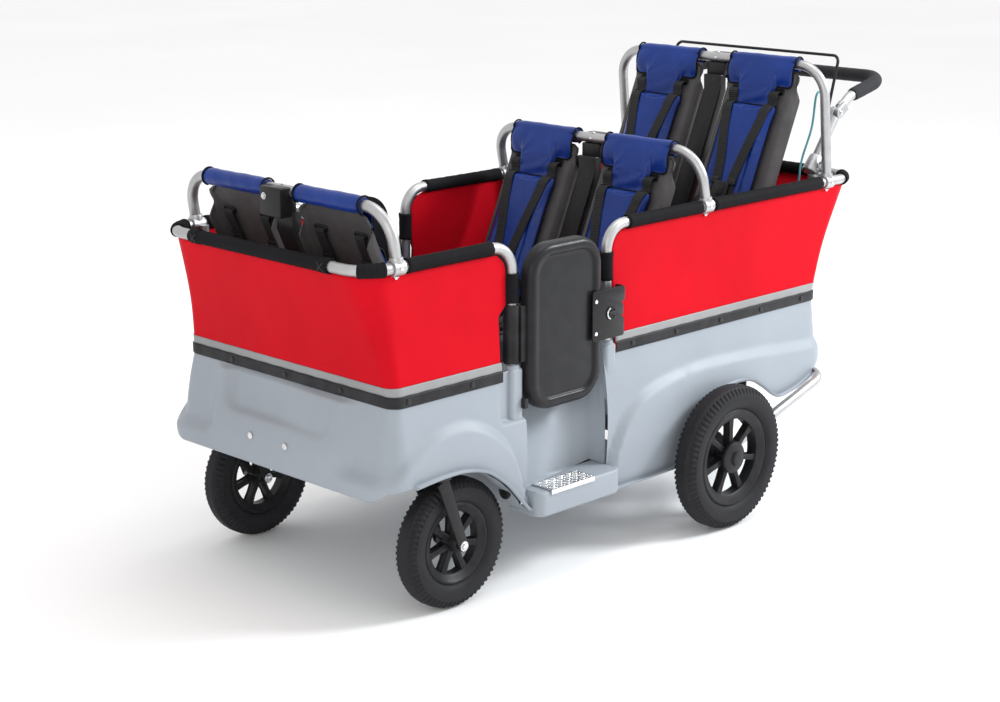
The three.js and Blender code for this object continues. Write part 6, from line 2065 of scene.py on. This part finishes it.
def cable_points():
    """The brake cable's own route, from the left handle tube to the left brake."""
    up = (KNUCKLE - SOCKET_FOOT).normalized()
    start = KNUCKLE - up * 45.0
    out = Vector((0.0, -up.z, up.y))
    points = [start + out * 11.6, start + out * 22.0]
    for anchor, offsets in (
            (KNUCKLE, ((0, -57, 10), (1, -63, 44), (2, -74, 54), (2, -85, 40))),
            (Vector((262.0, 1390.0, 690.0)), ((4, -18, 120), (1, -46, 52), (0, -54, 0), (0, -72, -100),
                                              (0, -104, -210))),
            (Vector((262.0, 1240.0, 314.0)), ((0, 14, 76), (0, 0, 24), (0, 0, -8), (0, -8, -30),
                                              (0, -40, -40), (4, -110, -38), (23, -180, -34))),
            (Vector((337.0, 952.0, 157.0)), ((-19, 52, 119), (-2, 14, 93), (0, 0, 65)))):
        points += [anchor + Vector(offset) for offset in offsets]
    points.append(Vector((337.0, 952.0, 202.5)))
    return points


def make_cable():
    points = rounded(cable_points(), 260)
    length = sum((after - before).length for before, after in zip(points, points[1:])) / 1000
    bm = bmesh.new()
    tube(bm, points, 2.5, 12)
    path = [tuple(TO_WORLD @ point) for point in points]
    obj = finish_piece(bm, "brake_cable_jacket", "cable", "chassis", "cable_jacket", ["brake_cable"])
    bm = bmesh.new()
    for low, high, size in ((0.0, 9.0, 4.0), (9.0, 15.0, 3.2)):
        start = points[0]
        way = (points[3] - points[0]).normalized()
        tube(bm, [start + way * low, start + way * high], size, 20)
    end = points[-1]
    tube(bm, [end, end + Vector((0, 0, 8.0)), end + Vector((0, 0, 9.0)), end + Vector((0, 0, 20.0))],
         [4.6, 4.6, 3.4, 3.4], 20)
    ferrules = finish_piece(bm, "cable_ferrules", "black", "chassis", "black_plastic")
    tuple(path[0])


# Stage: floor, lights and camera; the camera stands where the photograph was taken from

CAMERA_EYE = Vector((2949.0, -2314.0, 1454.0))
CAMERA_TARGET = Vector((118.0, 526.0, 419.0))
# Name, place, target, size, power and colour of each lamp, in metres
LAMPS = (
    ("key", (2.3, 2.6, 2.6), (0.0, 0.0, 0.4), 1.1, 150.0, (0.93, 0.97, 1.0)),
    ("fill", (2.2, -3.6, 1.6), (0.0, -0.2, 0.4), 2.0, 24.0, (1.0, 0.97, 0.92)),
    ("top", (0.3, 0.6, 4.2), (0.0, 0.0, 0.3), 2.2, 40.0, (1.0, 1.0, 1.0)),
)


def make_stage(settings):
    bm = bmesh.new()
    made = bmesh.ops.create_grid(bm, x_segments=2, y_segments=2, size=14.0)
    bmesh.ops.translate(bm, vec=(0, 0, -0.0005), verts=made["verts"])
    mesh = bpy.data.meshes.new("studio_floor")
    bm.to_mesh(mesh)
    bm.free()
    floor = bpy.data.objects.new("studio_floor", mesh)
    bpy.context.scene.collection.objects.link(floor)
    finish = Finish("studio floor", Roughness=0.8, Specular_IOR_Level=0.1)
    finish.set("Base Color", finish.colours(finish.noise(0.8, 2.0).ramp(0.3, 0.7), (0.92, 0.92, 0.92),
                                            (0.94, 0.94, 0.94)))
    mesh.materials.append(finish.material)

    world = bpy.data.worlds.new("studio")
    world.use_nodes = True
    background = world.node_tree.nodes["Background"]
    background.inputs["Color"].default_value = (1.0, 1.0, 1.0, 1.0)
    background.inputs["Strength"].default_value = settings.sky_strength
    bpy.context.scene.world = world

    bpy.context.scene.view_settings.view_transform = "Standard"
    for name, place, target, size, power, tint in LAMPS:
        light = bpy.data.lights.new(f"studio_{name}", "AREA")
        light.shape = "SQUARE"
        light.size = size
        light.energy = power
        light.color = tint
        lamp = bpy.data.objects.new(f"studio_{name}", light)
        lamp.location = place
        lamp.rotation_euler = (Vector(target) - Vector(place)).to_track_quat("-Z", "Y").to_euler()
        bpy.context.scene.collection.objects.link(lamp)

    camera = bpy.data.cameras.new("camera")
    camera.sensor_width = 36.0
    camera.lens = settings.camera_lens
    camera.clip_end = 60.0
    eye, target = TO_WORLD @ CAMERA_EYE, TO_WORLD @ CAMERA_TARGET
    view = bpy.data.objects.new("camera", camera)
    view.location = eye
    view.rotation_euler = (target - eye).to_track_quat("-Z", "Y").to_euler()
    bpy.context.scene.collection.objects.link(view)
    bpy.context.scene.camera = view


# Settings, operators and the panel

def metres(label, text, value):
    return bpy.props.FloatProperty(name=label, description=text, default=value, min=0.0, unit="LENGTH",
                                   subtype="DISTANCE")


def colour(label, text, value):
    return bpy.props.FloatVectorProperty(name=label, description=text, default=value, size=3,
                                         subtype="COLOR", min=0.0, max=1.0)


class StrollerSizes(bpy.types.PropertyGroup):
    """Sizes of the drawn tubes"""
    tube_radius: metres("Tube radius", "Radius of the rails, hoops and bumper tube", 0.011)


class StrollerColours(bpy.types.PropertyGroup):
    """Colours of the main finishes"""
    tub: colour("Tub", "Moulded tub", (0.30, 0.333, 0.372))
    tube: colour("Tubes", "Satin aluminium", (0.50, 0.50, 0.505))
    cloth: colour("Cloth sides", "Coated cloth between tub and rails", (0.64, 0.005, 0.015))
    pad: colour("Seat pads", "Coated cloth on the seats", (0.005, 0.032, 0.215))
    shell: colour("Seat shells", "Moulded seat shells", (0.075, 0.071, 0.073))


class StrollerStage(bpy.types.PropertyGroup):
    """Light and camera"""
    sky_strength: bpy.props.FloatProperty(name="Sky strength",
                                          description="Brightness of the plain surroundings",
                                          default=1.0, min=0.0)
    camera_lens: bpy.props.FloatProperty(name="Lens", description="Focal length in millimetres",
                                         default=72.26, min=1.0)


def radius_of(scene):
    return scene.stroller_sizes.tube_radius * 1000


class STROLLER_OT_stage(bpy.types.Operator):
    """Adds the floor, the lights and the camera"""
    bl_idname = "stroller.stage"
    bl_label = "Stage"

    def execute(self, context):
        make_stage(context.scene.stroller_stage)
        return {"FINISHED"}


class STROLLER_OT_finishes(bpy.types.Operator):
    """Makes every finish that the pieces use"""
    bl_idname = "stroller.finishes"
    bl_label = "Finishes"

    def execute(self, context):
        FINISH.update(make_finishes(context.scene.stroller_colours))
        return {"FINISHED"}


class STROLLER_OT_cable(bpy.types.Operator):
    """Lays the brake cable from the handle to the left brake"""
    bl_idname = "stroller.cable"
    bl_label = "Brake cable"

    def execute(self, context):
        make_cable()
        return {"FINISHED"}


class STROLLER_OT_tub(bpy.types.Operator):
    """Builds the moulded tub with its ledges, bosses and screws"""
    bl_idname = "stroller.tub"
    bl_label = "Tub"

    def execute(self, context):
        make_tub()
        return {"FINISHED"}


class STROLLER_OT_steps(bpy.types.Operator):
    """Builds the two chequered step plates"""
    bl_idname = "stroller.steps"
    bl_label = "Step plates"

    def execute(self, context):
        make_steps()
        return {"FINISHED"}


class STROLLER_OT_rails(bpy.types.Operator):
    """Bends the front and rear rails"""
    bl_idname = "stroller.rails"
    bl_label = "Rails"

    def execute(self, context):
        make_rails(radius_of(context.scene))
        return {"FINISHED"}


class STROLLER_OT_hoops(bpy.types.Operator):
    """Bends the three seat hoops and adds their clamps, sockets and bolts"""
    bl_idname = "stroller.hoops"
    bl_label = "Hoops"

    def execute(self, context):
        make_hoops(radius_of(context.scene))
        return {"FINISHED"}


class STROLLER_OT_cloth(bpy.types.Operator):
    """Stretches the cloth sides and adds hems, sleeves, reflective strips, bindings and rivets"""
    bl_idname = "stroller.cloth"
    bl_label = "Cloth sides"

    def execute(self, context):
        make_sheets()
        make_hems()
        make_sleeves()
        make_stitches()
        make_bindings()
        return {"FINISHED"}


class STROLLER_OT_doors(bpy.types.Operator):
    """Builds both doors with their hinges, latch plates and turning knobs"""
    bl_idname = "stroller.doors"
    bl_label = "Doors"

    def execute(self, context):
        make_doors()
        return {"FINISHED"}


class STROLLER_OT_seats(bpy.types.Operator):
    """Builds the six seats: shells, pads, harnesses and carriers"""
    bl_idname = "stroller.seats"
    bl_label = "Seats"

    def execute(self, context):
        make_seats()
        return {"FINISHED"}


class STROLLER_OT_wheels(bpy.types.Operator):
    """Builds the four wheels with their tyres and seven-spoke rims"""
    bl_idname = "stroller.wheels"
    bl_label = "Wheels"

    def execute(self, context):
        make_wheels()
        return {"FINISHED"}


class STROLLER_OT_castors(bpy.types.Operator):
    """Builds the castor forks and the cross member that carries them"""
    bl_idname = "stroller.castors"
    bl_label = "Castors"

    def execute(self, context):
        make_castors()
        return {"FINISHED"}


class STROLLER_OT_rear_frame(bpy.types.Operator):
    """Builds the bumper tube, the axle and the two brakes"""
    bl_idname = "stroller.rear_frame"
    bl_label = "Rear frame"

    def execute(self, context):
        make_rear_frame(radius_of(context.scene))
        return {"FINISHED"}


class STROLLER_OT_handle(bpy.types.Operator):
    """Builds the push handle with its foam grip, knuckles and brake bail"""
    bl_idname = "stroller.handle"
    bl_label = "Handle"

    def execute(self, context):
        make_handle(radius_of(context.scene))
        return {"FINISHED"}


PROPERTY_GROUPS = (
    (StrollerSizes, "stroller_sizes"),
    (StrollerColours, "stroller_colours"),
    (StrollerStage, "stroller_stage"),
)
OPERATORS = (
    STROLLER_OT_stage, STROLLER_OT_finishes, STROLLER_OT_cable, STROLLER_OT_tub, STROLLER_OT_steps,
    STROLLER_OT_rails, STROLLER_OT_hoops, STROLLER_OT_cloth, STROLLER_OT_doors, STROLLER_OT_seats,
    STROLLER_OT_wheels, STROLLER_OT_castors, STROLLER_OT_rear_frame, STROLLER_OT_handle,
)


class STROLLER_PT_panel(bpy.types.Panel):
    """Lists the stroller's settings and the operators that build it"""
    bl_idname = "STROLLER_PT_panel"
    bl_label = "Stroller"
    bl_space_type = "VIEW_3D"
    bl_region_type = "UI"
    bl_category = "Stroller"

    def draw(self, context):
        for group, name in PROPERTY_GROUPS:
            held = getattr(context.scene, name)
            for key in group.__annotations__:
                self.layout.prop(held, key)
        for operator in OPERATORS:
            self.layout.operator(operator.bl_idname)


def register():
    for group, name in PROPERTY_GROUPS:
        bpy.utils.register_class(group)
        setattr(bpy.types.Scene, name, bpy.props.PointerProperty(type=group))
    for operator in OPERATORS:
        bpy.utils.register_class(operator)
    bpy.utils.register_class(STROLLER_PT_panel)


def unregister():
    bpy.utils.unregister_class(STROLLER_PT_panel)
    for operator in reversed(OPERATORS):
        bpy.utils.unregister_class(operator)
    for group, name in reversed(PROPERTY_GROUPS):
        delattr(bpy.types.Scene, name)
        bpy.utils.unregister_class(group)


def main():
    register()
    for operator in OPERATORS:
        group, name = operator.bl_idname.split(".")
        getattr(getattr(bpy.ops, group), name)()


if __name__ == "__main__":
    main()
